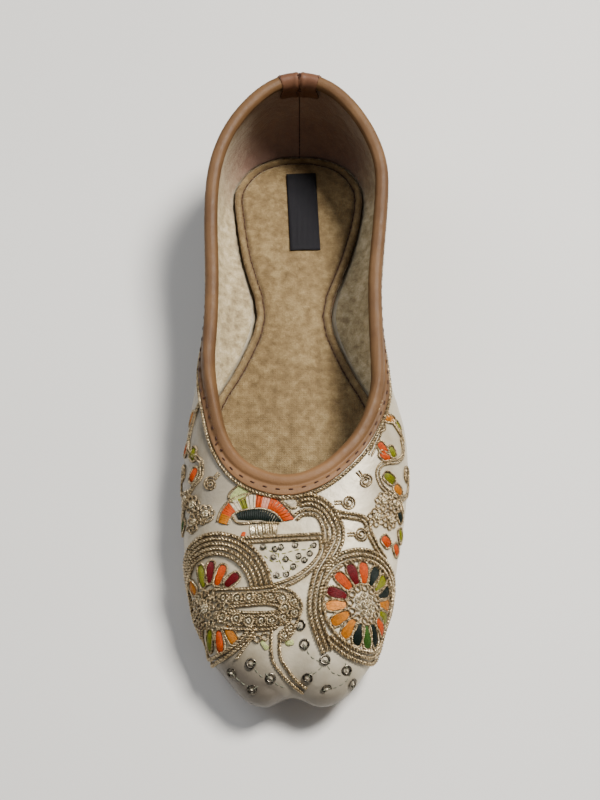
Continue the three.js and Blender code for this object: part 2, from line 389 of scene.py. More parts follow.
def blended(material, factor, first, second, way="MIX"):
    made = material.node_tree.nodes.new("ShaderNodeMix")
    made.data_type = "RGBA"
    made.blend_type = way
    for socket, value in ((made.inputs[0], factor), (made.inputs[6], first), (made.inputs[7], second)):
        if isinstance(value, bpy.types.NodeSocket):
            material.node_tree.links.new(value, socket)
        else:
            socket.default_value = value
    return made.outputs[2]


def tinted(material, colour, tint):
    return blended(material, 1.0, colour, tint, "MULTIPLY")


def worked(material, way, first, second=0.0, clamp=False):
    """One step of arithmetic on numbers."""
    return add_node(material, "Math", {0: first, 1: second}, operation=way, use_clamp=clamp).outputs[0]


def ranged(material, value, low, high, new_low, new_high):
    """Maps a number from one range to another, held at both ends."""
    inputs = {"Value": value, "From Min": low, "From Max": high, "To Min": new_low, "To Max": new_high}
    return add_node(material, "MapRange", inputs).outputs["Result"]


def raised(material, *layers):
    """Stacks bumps on the shader. Each layer is a height and how many millimetres it stands."""
    normal = None
    for height, depth in layers:
        inputs = {"Height": height, "Distance": depth * MM, "Strength": 1.0}
        if normal is not None:
            inputs["Normal"] = normal
        normal = add_node(material, "Bump", inputs).outputs["Normal"]
    plug(material, "Normal", normal)


print("one unit of texture is", round(1 / (1000 * MM)), "mm")

# %% [markdown]
# ### Satin
# Satin is smooth threads floating over a fine weave: pale, with a broad soft gloss that shifts with small
# puckers. Shade is painted into its colour as grey where the satin turns from the light: at the toe, along
# the inner side and a little at the throat. Ranges along X and Y give each of these, and they are added up.

# %% Satin
def satin_finish():
    material = finish_named("satin", Metallic=0.15, Roughness=0.42, Sheen_Weight=0.12, Sheen_Roughness=0.4)
    place = object_place(material)
    wide = cloudy(material, place, 38, 2)
    colour = ramp(material, wide, (0.3, tone(184, 171, 143)), (0.7, tone(218, 208, 184)))
    marks = cloudy(material, place, 6, 4)
    grey = ramp(material, marks, (0.25, tone(232, 226, 214)), (0.6, tone(255, 255, 255)))
    colour = tinted(material, colour, grey)
    axes = axes_of(material, place)
    # painted shade: the colour goes grey towards the toe, along the inner side and at the throat, most where
    # toe and inner side meet, varied by the wide clouds
    inward = ranged(material, axes["X"], -2, -32, 0.0, 0.5)
    forward = ranged(material, axes["Y"], -106, -125, 0.0, 0.85)
    throat_shade = ranged(material, axes["Y"], -70, -52, 0.0, 0.3)
    corner = worked(material, "MULTIPLY", worked(material, "MULTIPLY", inward, forward), 2.2)
    painted_shade = worked(material, "ADD", worked(material, "ADD", inward, forward), throat_shade)
    painted_shade = worked(material, "ADD", painted_shade, corner)
    painted_shade = worked(material, "MULTIPLY", painted_shade, ranged(material, wide, 0.3, 0.7, 0.75, 1.1), clamp=True)
    plug(material, "Base Color", blended(material, painted_shade, colour, tone(98, 90, 79)))
    plug(material, "Roughness", ranged(material, marks, 0.3, 0.7, 0.35, 0.5))
    floats = cloudy(material, object_place(material, (1.6, 0.25, 1.0)), 0.35, 2)
    puckers = cloudy(material, place, 3.2, 2)
    raised(material, (puckers, 0.2), (floats, 0.03))
    return material


SATIN = satin_finish()
print("satin has", len(SATIN.node_tree.nodes), "nodes")

# %% [markdown]
# ### Plush
# Plush is the opposite of satin. Its pile has no gloss of its own, but where it is brushed flat it turns
# light and where it stands up it goes dark, which gives the crushed mottling. Shade is painted into the
# lining as a darker brown towards the heel. Painted shade also darkens the sock in its sewn groove and at
# its rim, which it reads from an attribute, and its fore part shows the rib of the cloth.

# %% Plush
def plush_finish(name, dark, middle, light, ribbed=False, wear_and_shade=None, groove_and_rim_shade=None):
    material = finish_named(name, Roughness=0.85, Sheen_Weight=0.5, Sheen_Roughness=0.35)
    material.node_tree.nodes["Principled BSDF"].inputs["Sheen Tint"].default_value = tone(250, 238, 205)
    place = object_place(material)
    crushed = cloudy(material, place, 3.4, 5, 0.62)
    brushed = cloudy(material, object_place(material, (1, 0.5, 0.7)), 13, 2)
    crushed_share = worked(material, "MULTIPLY", crushed, 0.7)
    mottle = worked(material, "ADD", crushed_share, worked(material, "MULTIPLY", brushed, 0.3))
    colour = ramp(material, mottle, (0.36, dark), (0.5, middle), (0.64, light))
    pile = cloudy(material, place, 0.5, 3, 0.7)
    flecks = ramp(material, pile, (0.3, tone(215, 208, 196)), (0.7, tone(255, 255, 255)))
    colour = tinted(material, colour, flecks)
    y = axes_of(material, place)["Y"]
    # painted shade: towards the heel the lining is blended to a darker brown, the shade of the back wall
    if wear_and_shade:
        colour = blended(material, ranged(material, y, 84, 110, 0.0, 0.92), colour, wear_and_shade)
    # painted shade: an attribute darkens the sock in its sewn groove and at its rim
    if groove_and_rim_shade:
        depth = add_node(material, "Attribute", {}, attribute_name="groove_and_rim_shade").outputs["Fac"]
        colour = blended(material, depth, colour, groove_and_rim_shade)
    plug(material, "Base Color", colour)
    layers = [(crushed, 0.7), (pile, 0.35)]
    if ribbed:
        wave = {"Vector": place, "Scale": 0.33, "Distortion": 0.6}
        across = add_node(material, "TexWave", wave | {"Detail": 1.0})
        along = add_node(material, "TexWave", wave, bands_direction="Y")
        ground = worked(material, "MULTIPLY", across.outputs["Fac"], along.outputs["Fac"])
        forward = ranged(material, y, 30, -30, 0.0, 1.0)
        layers.append((worked(material, "MULTIPLY", ground, forward), 0.13))
    raised(material, *layers)
    return material


LINING_TONES = tone(146, 130, 100), tone(190, 174, 138), tone(222, 208, 175)
SOCK_TONES = tone(107, 87, 54), tone(134, 112, 75), tone(159, 138, 98)
# the lining's darker brown at the heel is painted shade
LINING_PLUSH = plush_finish("plush_lining", *LINING_TONES, wear_and_shade=tone(122, 90, 79))
SOCK_PLUSH = plush_finish("plush_sock", *SOCK_TONES, ribbed=True, groove_and_rim_shade=tone(76, 55, 32))
print("plush:", LINING_PLUSH.name, "and", SOCK_PLUSH.name)

# %% [markdown]
# ### Leather
# The binding is thin, waxed goat leather: even in colour, with fine pores and small stretch wrinkles. Light
# is painted into it as a paler tone towards the throat. The tab's is the same skin dyed deeper. Sole hide is
# thick and dull with long scuffs, and the heel's layers show dark lines at even heights.

# %% Leather
def leather_finish(name, dark, light, roughness, painted_throat_light=False):
    material = finish_named(name, Roughness=roughness, Specular_IOR_Level=0.32, IOR=1.45)
    place = object_place(material)
    patchy = cloudy(material, place, 14, 4)
    colour = ramp(material, patchy, (0.32, dark), (0.68, light))
    pores = add_node(material, "TexVoronoi", {"Vector": place, "Scale": 1 / 0.45}).outputs["Distance"]
    grain = ramp(material, pores, (0.0, tone(225, 215, 205)), (0.35, tone(255, 255, 255)))
    colour = tinted(material, colour, grain)
    # painted light: towards the throat the binding is blended to a paler tan
    if painted_throat_light:
        throat = ranged(material, axes_of(material, place)["Y"], -30, -46, 0.0, 0.4)
        colour = blended(material, throat, colour, tone(142, 103, 68))
    plug(material, "Base Color", colour)
    wrinkles = cloudy(material, object_place(material, (1, 0.6, 1)), 1.6, 4)
    plug(material, "Roughness", ranged(material, wrinkles, 0.3, 0.7, roughness - 0.06, roughness + 0.1))
    raised(material, (wrinkles, 0.14), (pores, 0.05))
    return material


def hide_finish(name, dark, light, layer=None):
    material = finish_named(name, Roughness=0.62, IOR=1.45)
    place = object_place(material)
    patchy = cloudy(material, place, 20, 6, 0.65)
    colour = ramp(material, patchy, (0.3, dark), (0.7, light))
    scuffs = cloudy(material, object_place(material, (1, 0.12, 1)), 1.2, 4)
    # scuffs: the hide's own wear, not painted shade
    wear_and_shade = ramp(material, scuffs, (0.35, tone(205, 195, 185)), (0.6, tone(255, 255, 255)))
    colour = tinted(material, colour, wear_and_shade)
    if layer:
        turn = worked(material, "PINGPONG", axes_of(material, place)["Z"], layer / 2)
        line = ranged(material, turn, 0.0, 0.22, 0.45, 0.0)
        colour = blended(material, line, colour, tone(48, 30, 18))
    plug(material, "Base Color", colour)
    raised(material, (patchy, 0.2), (scuffs, 0.08))
    return material


TAN = leather_finish("tan_leather", tone(84, 58, 34), tone(103, 75, 46), 0.54, painted_throat_light=True)
TAB_LEATHER = leather_finish("tab_leather", tone(84, 53, 37), tone(102, 68, 48), 0.54)
SOLE_HIDE = hide_finish("sole_hide", tone(140, 104, 70), tone(176, 138, 98))
STACK_HIDE = hide_finish("heel_stack", tone(104, 70, 44), tone(140, 100, 66), layer=2.0)
print("leather:", ", ".join(m.name for m in (TAN, TAB_LEATHER, SOLE_HIDE, STACK_HIDE)))

# %% [markdown]
# ### Thread, metal thread and sequins
# Zari is silk wound with flattened gilt wire. It is half metal: bright where the wire is whole, dark and
# warm in the grooves and where it has tarnished. Silk thread is plain colour with a sheen. Sequins are thin
# polished tin.

# %% Thread and metal
def zari_finish(name, dark, light):
    material = finish_named(name, Metallic=0.75, Roughness=0.3, Specular_IOR_Level=0.6)
    place = object_place(material)
    tarnish = cloudy(material, place, 7, 3)
    fleck = cloudy(material, place, 0.8, 2)
    colour = ramp(material, fleck, (0.35, dark), (0.63, light))
    dull = ramp(material, tarnish, (0.3, tone(205, 196, 180)), (0.65, tone(255, 255, 255)))
    plug(material, "Base Color", tinted(material, colour, dull))
    plug(material, "Roughness", ranged(material, tarnish, 0.3, 0.7, 0.38, 0.24))
    raised(material, (cloudy(material, place, 0.18, 1), 0.04))
    return material


def silk_finish(name, colour):
    material = finish_named(name, Roughness=0.5, Specular_IOR_Level=0.22)
    place = object_place(material)
    strand = cloudy(material, place, 0.8, 2)
    shade = ramp(material, strand, (0.25, tone(190, 190, 190)), (0.65, tone(255, 255, 255)))
    plug(material, "Base Color", tinted(material, colour, shade))
    raised(material, (cloudy(material, place, 0.2, 1), 0.03))
    return material


def sequin_finish(name, dark, light):
    material = finish_named(name, Metallic=1.0, Roughness=0.25)
    place = object_place(material)
    wear = cloudy(material, place, 1.1, 3)
    plug(material, "Base Color", ramp(material, wear, (0.35, dark), (0.65, light)))
    plug(material, "Roughness", ranged(material, wear, 0.3, 0.7, 0.16, 0.36))
    raised(material, (wear, 0.05))
    return material


def label_finish():
    material = finish_named("label_cloth", Roughness=0.55, Specular_IOR_Level=0.3)
    place = object_place(material)
    weft = add_node(material, "TexWave", {"Vector": place, "Scale": 0.6}, bands_direction="Y").outputs["Fac"]
    warp = add_node(material, "TexWave", {"Vector": place, "Scale": 0.6}).outputs["Fac"]
    colour = ramp(material, weft, (0.2, tone(8, 8, 12)), (0.8, tone(22, 21, 29)))
    plug(material, "Base Color", colour)
    raised(material, (weft, 0.12), (warp, 0.08))
    return material


ZARI = zari_finish("zari", tone(72, 56, 35), tone(214, 193, 154))
BRIGHT_ZARI = zari_finish("bright_zari", tone(150, 130, 92), tone(240, 230, 202))
SEQUIN = sequin_finish("sequin", tone(50, 44, 36), tone(132, 124, 110))
LABEL = label_finish()
SILK_COLOURS = {
    "dark_red": (96, 3, 14),
    "orange": (188, 70, 4),
    "amber": (178, 106, 6),
    "peach": (226, 146, 66),
    "olive": (112, 114, 8),
    "leaf": (48, 82, 22),
    "dark_green": (3, 20, 12),
    "pale_green": (184, 192, 126),
    "cream": (214, 200, 172),
    "pink": (214, 150, 128),
    "grey": (120, 122, 104),
    "brown": (62, 34, 22),
}
SILKS = {name: silk_finish("silk_" + name, tone(*colour)) for name, colour in SILK_COLOURS.items()}
SILK_NAMES = list(SILKS)
print(len(bpy.data.materials), "finishes")

# %% [markdown]
# ## The floor
# A single large grid, pale and matt, with a faint unevenness so that it reads as a painted table. It lies a
# hair under the sole, because two faces in one plane would flicker.

# %% Floor
FLOOR_REACH = 2.5
FLOOR_DROP = 0.05

floor_bm = bmesh.new()
bmesh.ops.create_grid(floor_bm, x_segments=8, y_segments=8, size=FLOOR_REACH)
bmesh.ops.translate(floor_bm, verts=floor_bm.verts, vec=(0, 0, -FLOOR_DROP * MM))
floor = new_object("floor", floor_bm)
floor_paint = finish_named("floor_paint", Roughness=0.75)
uneven = cloudy(floor_paint, object_place(floor_paint), 240, 2)
tint = ramp(floor_paint, uneven, (0.2, tone(214, 213, 210)), (0.8, tone(222, 221, 218)))
plug(floor_paint, "Base Color", tint)
floor.data.materials.append(floor_paint)
floor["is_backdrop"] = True
print("floor:", 2 * FLOOR_REACH, "m across")

# %% [markdown]
# ## The satin and the plush lining
# The upper is one wall in the solids. On the real shoe it is satin on card outside and plush inside, so a
# copy is split into its two skins by the way each face points from the shoe's core. Each skin is subdivided
# until it is smooth, worked over, and given a thickness, which leaves a closed sheet. The plush ends above
# the sole, hidden by the sock, so only satin reaches the sole.

# %% Split the wall into two skins
SKIN_LEVELS = 2
SATIN_THICKNESS = 0.9
LINING_THICKNESS = 0.85
TOE_CREASES_FROM = -108
LINING_FOOT = 2.4
CORE_REACH = 85
CORE_HEIGHT = 20
DOWN = Vector((0, 0, -1))


def wall_skin(name, outside):
    bm = clean_copy("upper")
    unwanted = []
    for face in bm.faces:
        middle = face.calc_center_median()
        along = max(-CORE_REACH * MM, min(CORE_REACH * MM, middle.y))
        faces_out = face.normal.dot(middle - Vector((0, along, CORE_HEIGHT * MM))) > 0
        if faces_out != outside:
            unwanted.append(face)
    bmesh.ops.delete(bm, geom=unwanted, context="FACES")
    return subdivide(new_object(name, bm), SKIN_LEVELS)


def refine(piece, wanted):
    """Halves the faces of one part of a piece, where small creases need them."""
    with edited(piece) as bm:
        edges = [edge for edge in bm.edges if all(wanted(vertex.co) for vertex in edge.verts)]
        bmesh.ops.subdivide_edges(bm, edges=edges, cuts=1, smooth=0.4, use_grid_fill=True)


def trim_foot(piece, height):
    """Deletes the faces of a piece that lie lower than a height over the sole."""
    sole_top = surface_of(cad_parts["outsole"])
    with edited(piece) as bm:
        reach = height * MM
        low = [face for face in bm.faces if sole_top.ray_cast(face.calc_center_median(), DOWN, reach)[0]]
        bmesh.ops.delete(bm, geom=low, context="FACES")


satin = wall_skin("satin_upper", True)
refine(satin, lambda place: place.y < TOE_CREASES_FROM * MM)
lining = wall_skin("plush_lining", False)
trim_foot(lining, LINING_FOOT)
print(len(satin.data.polygons), "faces of satin,", len(lining.data.polygons), "of lining")

# %% [markdown]
# Soft folds are given one by one: a trough or a ridge follows a few points on the shoe, and every vertex near
# it moves along its normal, less and less the further away it is. The list is in millimetres.

# %% Folds
def to_line(point, corners):
    """How far a point is from a line through corners, and how far along it that lies, from 0 to 1."""
    nearest = None
    for index, (a, b) in enumerate(zip(corners, corners[1:])):
        run = b - a
        share = max(0.0, min(1.0, (point - a).dot(run) / run.length_squared))
        gap = (point - a - run * share).length
        if nearest is None or gap < nearest[0]:
            nearest = (gap, (index + share) / (len(corners) - 1))
    return nearest


FOLD_REACH = 2.5


def fold(piece, corners, height, width):
    """Raises a ridge, or presses a trough where the height is negative, that fades out at its ends."""
    corners = [Vector(c) * MM for c in corners]
    reach = FOLD_REACH * width * MM
    low = [min(c[i] for c in corners) - reach for i in range(3)]
    high = [max(c[i] for c in corners) + reach for i in range(3)]
    moves = []
    for vertex in piece.data.vertices:
        if all(low[i] < vertex.co[i] < high[i] for i in range(3)):
            gap, share = to_line(vertex.co, corners)
            fade = math.sin(math.pi * min(1, max(0, 0.06 + 0.88 * share))) ** 0.6
            moves.append((vertex, height * MM * fade * math.exp(-((gap / (width * MM)) ** 2))))
    normals = [vertex.normal.copy() for vertex, _ in moves]
    for (vertex, move), normal in zip(moves, normals):
        vertex.co += normal * move


SATIN_FOLDS = [
    # the drawn-in middle of the toe and the two short creases that leave it
    ([(0, -127, 12), (0, -126, 18), (-0.5, -123, 23), (-1, -119, 26)], -1.3, 1.3),
    ([(-1, -124, 22), (-5, -121, 25), (-9, -119, 26), (-13, -118, 26)], -0.8, 1.2),
    ([(-2, -125, 20), (-7, -123, 22), (-12, -121, 23)], -0.6, 1.1),
    ([(1, -124, 22), (6, -121, 25), (12, -119, 25)], -0.7, 1.2),
    ([(2, -125, 20), (8, -123, 22), (14, -121, 22)], -0.6, 1.1),
    ([(-8, -126, 18), (-17, -123, 20), (-26, -116, 21)], 0.3, 4.0),
    ([(9, -126, 18), (18, -123, 20), (27, -115, 21)], 0.3, 4.0),
    # where the vamp bends with the toes
    ([(-38, -62, 26), (-30, -58, 35), (-20, -57, 40)], -0.4, 3.0),
    ([(-41, -56, 24), (-35, -50, 33), (-28, -47, 39)], 0.35, 2.6),
    ([(40, -60, 25), (32, -55, 35), (24, -52, 40)], -0.4, 3.0),
    ([(43, -50, 24), (37, -44, 33), (31, -40, 39)], 0.3, 2.6),
    # the slack of the quarters at the waist
    ([(-41, -24, 20), (-36, 6, 30), (-34, 30, 36)], -0.5, 4.5),
    ([(41, -20, 20), (36, 8, 29), (34, 34, 36)], -0.5, 4.5),
    ([(-37, 14, 22), (-34, 44, 28), (-36, 74, 36)], 0.35, 4.0),
    ([(37, 18, 22), (34, 48, 28), (37, 78, 36)], 0.35, 4.0),
    ([(-30, 98, 20), (-32, 92, 32), (-31, 88, 44)], -0.3, 3.0),
    ([(33, 98, 20), (34, 91, 33), (33, 86, 44)], -0.3, 3.0),
]
for corners, height, width in SATIN_FOLDS:
    fold(satin, corners, height, width)
print(len(SATIN_FOLDS), "folds in the satin")

# %% [markdown]
# The satin is pulled over the edge of the sole in small pleats round the toe. They are one ripple: its
# height follows the place round the shoe. It dies away a few millimetres above the sole, and where the
# satin lies flat on the sole.

# %% Pleats at the sole, and the lumps of the plush
PLEAT_SCALE = 5.2
PLEAT_DEPTH = 0.28
PLEAT_RISE = 7.0
PLEAT_RADIUS = 60
PLEATS_FROM = -30
TOE_MIDDLE = -60
TOE_SPRING_FROM = -68


def pleat(vertex):
    ground = 9 + max(0.0, TOE_SPRING_FROM - vertex.co.y / MM) * 0.1
    above = (vertex.co.z / MM - ground) / PLEAT_RISE
    angle = math.atan2(vertex.co.x, -(vertex.co.y / MM - TOE_MIDDLE) * MM)
    ripple = math.cos(angle * PLEAT_RADIUS / PLEAT_SCALE * 2) + 0.4 * noise.noise(vertex.co * 90)
    upright = vertex.normal.xy.length
    dying = math.exp(-(max(0.0, above) ** 2))
    return PLEAT_DEPTH * ripple * upright * dying * (vertex.co.y < PLEATS_FROM * MM)


def lump(vertex):
    return 0.35 * noise.noise(vertex.co * 180) + 0.2 * noise.noise(vertex.co * 420)


print("a pleat every", round(math.pi * PLEAT_SCALE), "mm round the toe")

# %% [markdown]
# Subdivision draws the two lobes of the toe in a little, and a push puts them back. Then the back seam is
# pressed into both skins, and each skin gets its thickness. The wall grows away from the side that shows.

# %% Toe, back seam and thickness
TOE_PUSH = 0.9
TOE_PUSH_FROM = -112
TOE_PUSH_LENGTH = 14


def toe_push(vertex):
    forward = max(0.0, min(1.0, (TOE_PUSH_FROM - vertex.co.y / MM) / TOE_PUSH_LENGTH))
    return TOE_PUSH * forward**2


def shift_along_normals(piece, amount):
    """Moves each vertex along its normal by amount(vertex) millimetres."""
    moves = [(v, v.normal * amount(v) * MM) for v in piece.data.vertices]
    for vertex, move in moves:
        vertex.co += move


def thicken(piece, thickness):
    """Gives an open skin a wall, on the side that its faces turn away from."""
    wall = piece.modifiers.new("wall", "SOLIDIFY")
    wall.thickness = thickness * MM
    wall.offset = -1
    return settle(piece)


for skin, amount in ((satin, pleat), (satin, toe_push), (lining, lump)):
    shift_along_normals(skin, amount)
tab_low, tab_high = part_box("heel_tab")
BACK_SEAM = (tab_low.x + tab_high.x) / 2 / MM
seam_corners = [(BACK_SEAM, y, z) for y, z in ((112, 14), (118, 20), (122, 36), (120, 58))]
for skin in (satin, lining):
    fold(skin, seam_corners, -0.5, 0.9)
satin = hand_over(thicken(satin, SATIN_THICKNESS), SATIN, ["upper"])
lining = hand_over(thicken(lining, LINING_THICKNESS), LINING_PLUSH)

# %% [markdown]
# ## The collar binding
# A strip of thin leather is sewn on, rolled over the edge and stitched down, so the edge itself is a round
# bead and the strip lies flat below a shallow groove. The solid already has the folded section. One more
# cut across it makes room for the groove, and then each vertex moves by how far it is from the collar line.

# %% Binding
BEAD_REACH = 3.6
BEAD_RISE = 0.34
GROOVE_AT = 3.9
GROOVE_DEPTH = 0.5
GROOVE_WIDTH = 0.55


def crosses(edge):
    """True for an edge that runs across the strip and not round the collar."""
    middle = (edge.verts[0].co + edge.verts[1].co) / 2
    index = rim_tree.find(middle)[1]
    onward = (rim[(index + 1) % len(rim)] - rim[index - 1]).normalized()
    return abs(onward.dot((edge.verts[1].co - edge.verts[0].co).normalized())) < 0.6


def bead(vertex):
    away = rim_tree.find(vertex.co)[2] / MM
    round_part = BEAD_RISE * max(0.0, 1 - (away / BEAD_REACH) ** 4)
    groove = GROOVE_DEPTH * math.exp(-(((away - GROOVE_AT) / GROOVE_WIDTH) ** 2))
    return round_part - groove + 0.05 * noise.noise(vertex.co * 300)


binding_bm = clean_copy("collar_binding")
binding_edge = sharp_lines(binding_bm)[0]
bmesh.ops.subdivide_edges(binding_bm, edges=[edge for edge in binding_bm.edges if crosses(edge)], cuts=1)
binding = subdivide(new_object("collar_binding_leather", binding_bm), 2)
shift_along_normals(binding, bead)
hand_over(binding, TAN, ["collar_binding"])
print("binding edge:", round(line_length(binding_edge) / MM), "mm round")

# %% [markdown]
# ## The heel tab
# A short patch hides the joint of the binding. Its middle seam is where its two halves are sewn edge to
# edge, so it is a narrow trough with a slight swelling on each side.

# %% Heel tab
TAB_TROUGH = 0.5
TAB_SWELLING = 0.22


def tab_seam(vertex):
    aside = abs(vertex.co.x / MM - BACK_SEAM)
    trough = TAB_TROUGH * math.exp(-((aside / 0.45) ** 2))
    swelling = TAB_SWELLING * math.exp(-(((aside - 1.5) / 0.8) ** 2))
    return swelling - trough


tab = subdivide(new_object("heel_tab_leather", clean_copy("heel_tab")), 3)
shift_along_normals(tab, tab_seam)
hand_over(tab, TAB_LEATHER, ["heel_tab"])

# %% [markdown]
# ## Outsole and heel
# The sole is cut from one sheet of hide, and its edges are rubbed round with a bone. A bevel on the sharp
# edges does that, and a subdivision rounds the outline. The heel is a stack of thinner pieces. Each joint
# between two of them gets three cuts close together, and the middle one is pulled in, so it shows as a
# groove.

# %% Outsole and heel lift
LAYERS = 3
LAYER_GROOVE = 0.3
GROOVE_HALF_HEIGHT = 0.25


def bevel_sharp(bm, width, segments):
    bmesh.ops.bevel(
        bm,
        geom=sharp_edges(bm),
        offset=width * MM,
        affect="EDGES",
        segments=segments,
        profile=0.5,
        material=-1,
        clamp_overlap=True,
    )


outsole_bm = clean_copy("outsole")
sole_edges = sharp_lines(outsole_bm)
bevel_sharp(outsole_bm, 0.6, 2)
outsole = subdivide(new_object("outsole_hide", outsole_bm), 2)
hand_over(outsole, SOLE_HIDE, ["outsole"])

lift_bm = clean_copy("heel_lift")
lift_low, lift_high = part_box("heel_lift")
for layer in range(1, LAYERS):
    for nudge in (-GROOVE_HALF_HEIGHT, 0, GROOVE_HALF_HEIGHT):
        height = lift_high.z * layer / LAYERS + nudge * MM
        everything = lift_bm.verts[:] + lift_bm.edges[:] + lift_bm.faces[:]
        cut = bmesh.ops.bisect_plane(lift_bm, geom=everything, plane_co=(0, 0, height), plane_no=(0, 0, 1))
        if nudge == 0:
            middle = (lift_low + lift_high) / 2
            for vertex in {v for v in cut["geom_cut"] if isinstance(v, bmesh.types.BMVert)}:
                inward = Vector((middle.x - vertex.co.x, middle.y - vertex.co.y, 0)).normalized()
                vertex.co += inward * LAYER_GROOVE * MM
bevel_sharp(lift_bm, 0.4, 2)
hand_over(new_object("heel_lift_stack", lift_bm), STACK_HIDE, ["heel_lift"])

# %% [markdown]
# ## The padded sock
# The sock is a thin foam insole under plush. Its rim is turned over a cord and stitched, which leaves a
# raised band, a sewn groove and a gently crowned middle. Such a pad is held flat by glue and by the foot,
# so it isn't inflated with a cloth simulation. Instead a voxel remesh gives even small faces, which can
# carry fine relief.

# %% Sock, in even faces
SOCK_VOXEL = 0.75

sock_bm = clean_copy("sock")
sock_lines = sharp_lines(sock_bm)
sock_top = max(sock_lines[:2], key=lambda line: sum(p.z for p in line) / len(line))
sock_edge = evenly(sock_top, LINE_STEP * MM)
sock = new_object("sock_pad", sock_bm)
remesh = sock.modifiers.new("even", "REMESH")
remesh.mode = "VOXEL"
remesh.voxel_size = SOCK_VOXEL * MM
sock = settle(sock)
print("sock:", round(line_length(sock_top) / MM), "mm round and", len(sock.data.polygons), "faces")

# %% [markdown]
# The relief depends only on how far a point of the top is from the edge, so a tree of the flattened edge is
# asked for each vertex. From the same distance comes an attribute, which paints shade into the groove and
# at the rim in the material.

# %% The sock's band, groove and crown
BAND_WIDTH = 3.2
BAND_RISE = 0.55
SEWN_WIDTH = 0.7
SEWN_DEPTH = 1.5
CROWN = 0.9
CROWN_REACH = 14
SHOULDER = 0.9

flat_edge = tree_of([Vector((p.x, p.y, 0)) for p in sock_edge])


def from_sock_edge(point):
    return flat_edge.find(Vector((point.x, point.y, 0)))[2] / MM


def groove_line(inside):
    return math.exp(-(((inside - BAND_WIDTH) / SEWN_WIDTH) ** 2))


def sock_height(vertex):
    """How far a vertex of the top rises: a round shoulder, the band, the sewn groove and the crown."""
    if vertex.normal.z < 0.3:
        return 0.0
    inside = from_sock_edge(vertex.co)
    shoulder = -SHOULDER * math.exp(-inside / 0.8)
    band = BAND_RISE * math.exp(-(((inside - BAND_WIDTH / 2) / (BAND_WIDTH / 3)) ** 2))
    groove = -SEWN_DEPTH * groove_line(inside)
    crown = CROWN * min(1.0, max(0.0, inside - BAND_WIDTH) / CROWN_REACH) ** 0.6
    return shoulder + band + groove + crown + lump(vertex) * 0.6


# painted shade: this attribute is strongest in the sewn groove and at the rim, where it darkens the sock's
# colour
groove_and_rim_shade = sock.data.attributes.new("groove_and_rim_shade", "FLOAT", "POINT")
for vertex, rise in [(v, sock_height(v)) for v in sock.data.vertices]:
    inside = from_sock_edge(vertex.co)
    groove_and_rim_shade.data[vertex.index].value = 0.85 * max(groove_line(inside), math.exp(-((inside / 0.6) ** 2)))
    vertex.co.z += rise * MM
sock = hand_over(sock, SOCK_PLUSH, ["sock"])
sock_surface = surface_of(sock)

# %% [markdown]
# ## The woven label
# A black damask label is sewn to the heel of the sock, and it is left plain. A subdivided grid is dropped
# on the sock with rays, so that it follows the crown, and its two ends are turned under, which makes them a
# little thicker.

# %% Label
LABEL_SIZE = Vector((12.8, 40, 1))
LABEL_MIDDLE = (3, 86.5)
LABEL_TURN = 2.6
LABEL_THICKNESS = 0.45
TURNED_END = 2.2

label_bm = bmesh.new()
bmesh.ops.create_grid(label_bm, x_segments=10, y_segments=32, size=0.5 * MM)
bmesh.ops.scale(label_bm, verts=label_bm.verts, vec=LABEL_SIZE)
label_ends = {v for v in label_bm.verts if abs(v.co.y) > (LABEL_SIZE.y / 2 - TURNED_END) * MM}
bmesh.ops.rotate(label_bm, verts=label_bm.verts, matrix=Matrix.Rotation(math.radians(LABEL_TURN), 3, "Z"))
bmesh.ops.translate(label_bm, verts=label_bm.verts, vec=Vector((*LABEL_MIDDLE, 0)) * MM)
for vertex in label_bm.verts:
    touch = sock_surface.ray_cast(Vector((vertex.co.x, vertex.co.y, 60 * MM)), DOWN)[0]
    vertex.co.z = touch.z + (LABEL_THICKNESS + 0.15 + 0.3 * (vertex in label_ends)) * MM
for _ in range(3):
    bmesh.ops.smooth_vert(label_bm, verts=label_bm.verts, factor=0.5, use_axis_z=True)
hand_over(thicken(new_object("woven_label", label_bm), LABEL_THICKNESS), LABEL)

# %% [markdown]
# ## A flat drawing for the needlework
# Embroidery is drawn flat and then worked on the curved satin, so the script does the same. On the vamp a
# place is (s, y): s is measured over the satin from its highest line, and y along the shoe. On a flank a
# place is (h, y): h is measured up the satin from the sole. Rays shot towards the shoe's core give the
# satin's outline at each y, and a walk along that outline finds the place.

# %% From the drawing to the satin
CORE = 18
SPREAD = 118
RAY_STEP = 2
RAY_START = 0.12

satin_surface = surface_of(satin)


@lru_cache(maxsize=None)
def outline_at(tenths):
    """Points of the satin round the shoe, at a Y in tenths of a millimetre. None where the satin is open."""
    core = Vector((0, tenths * 0.1, CORE)) * MM
    points = []
    for angle in range(-SPREAD, SPREAD + 1, RAY_STEP):
        aim = Vector((math.sin(math.radians(angle)), 0, math.cos(math.radians(angle))))
        points.append(satin_surface.ray_cast(core + aim * RAY_START, -aim, RAY_START)[0])
    return points


def walk(points, distance):
    """The point so many millimetres along a run of points, or None past its end."""
    left = distance * MM
    for a, b in zip(points, points[1:]):
        if a is None or b is None:
            return None
        gap = (b - a).length
        if left <= gap:
            return a.lerp(b, left / gap)
        left -= gap
    return None


def on_satin(point):
    if point is None:
        return None
    place, normal = satin_surface.find_nearest(point)[:2]
    return place, normal


def vamp(s, y):
    points = outline_at(round(y * 10))
    middle = len(points) // 2
    run = points[middle:] if s >= 0 else points[middle::-1]
    return on_satin(walk(run, abs(s)))


def flank(side):
    """The places of one flank: side is 1 for +X, the outer side, and -1 for the inner side."""

    def place(h, y):
        points = outline_at(round(y * 10))
        run = [p for p in (points[::-1] if side > 0 else points)[: len(points) // 2] if p is not None]
        return on_satin(walk(run, h))

    return place


print("the vamp is", len([p for p in outline_at(-900) if p]), "rays wide at the wheels")

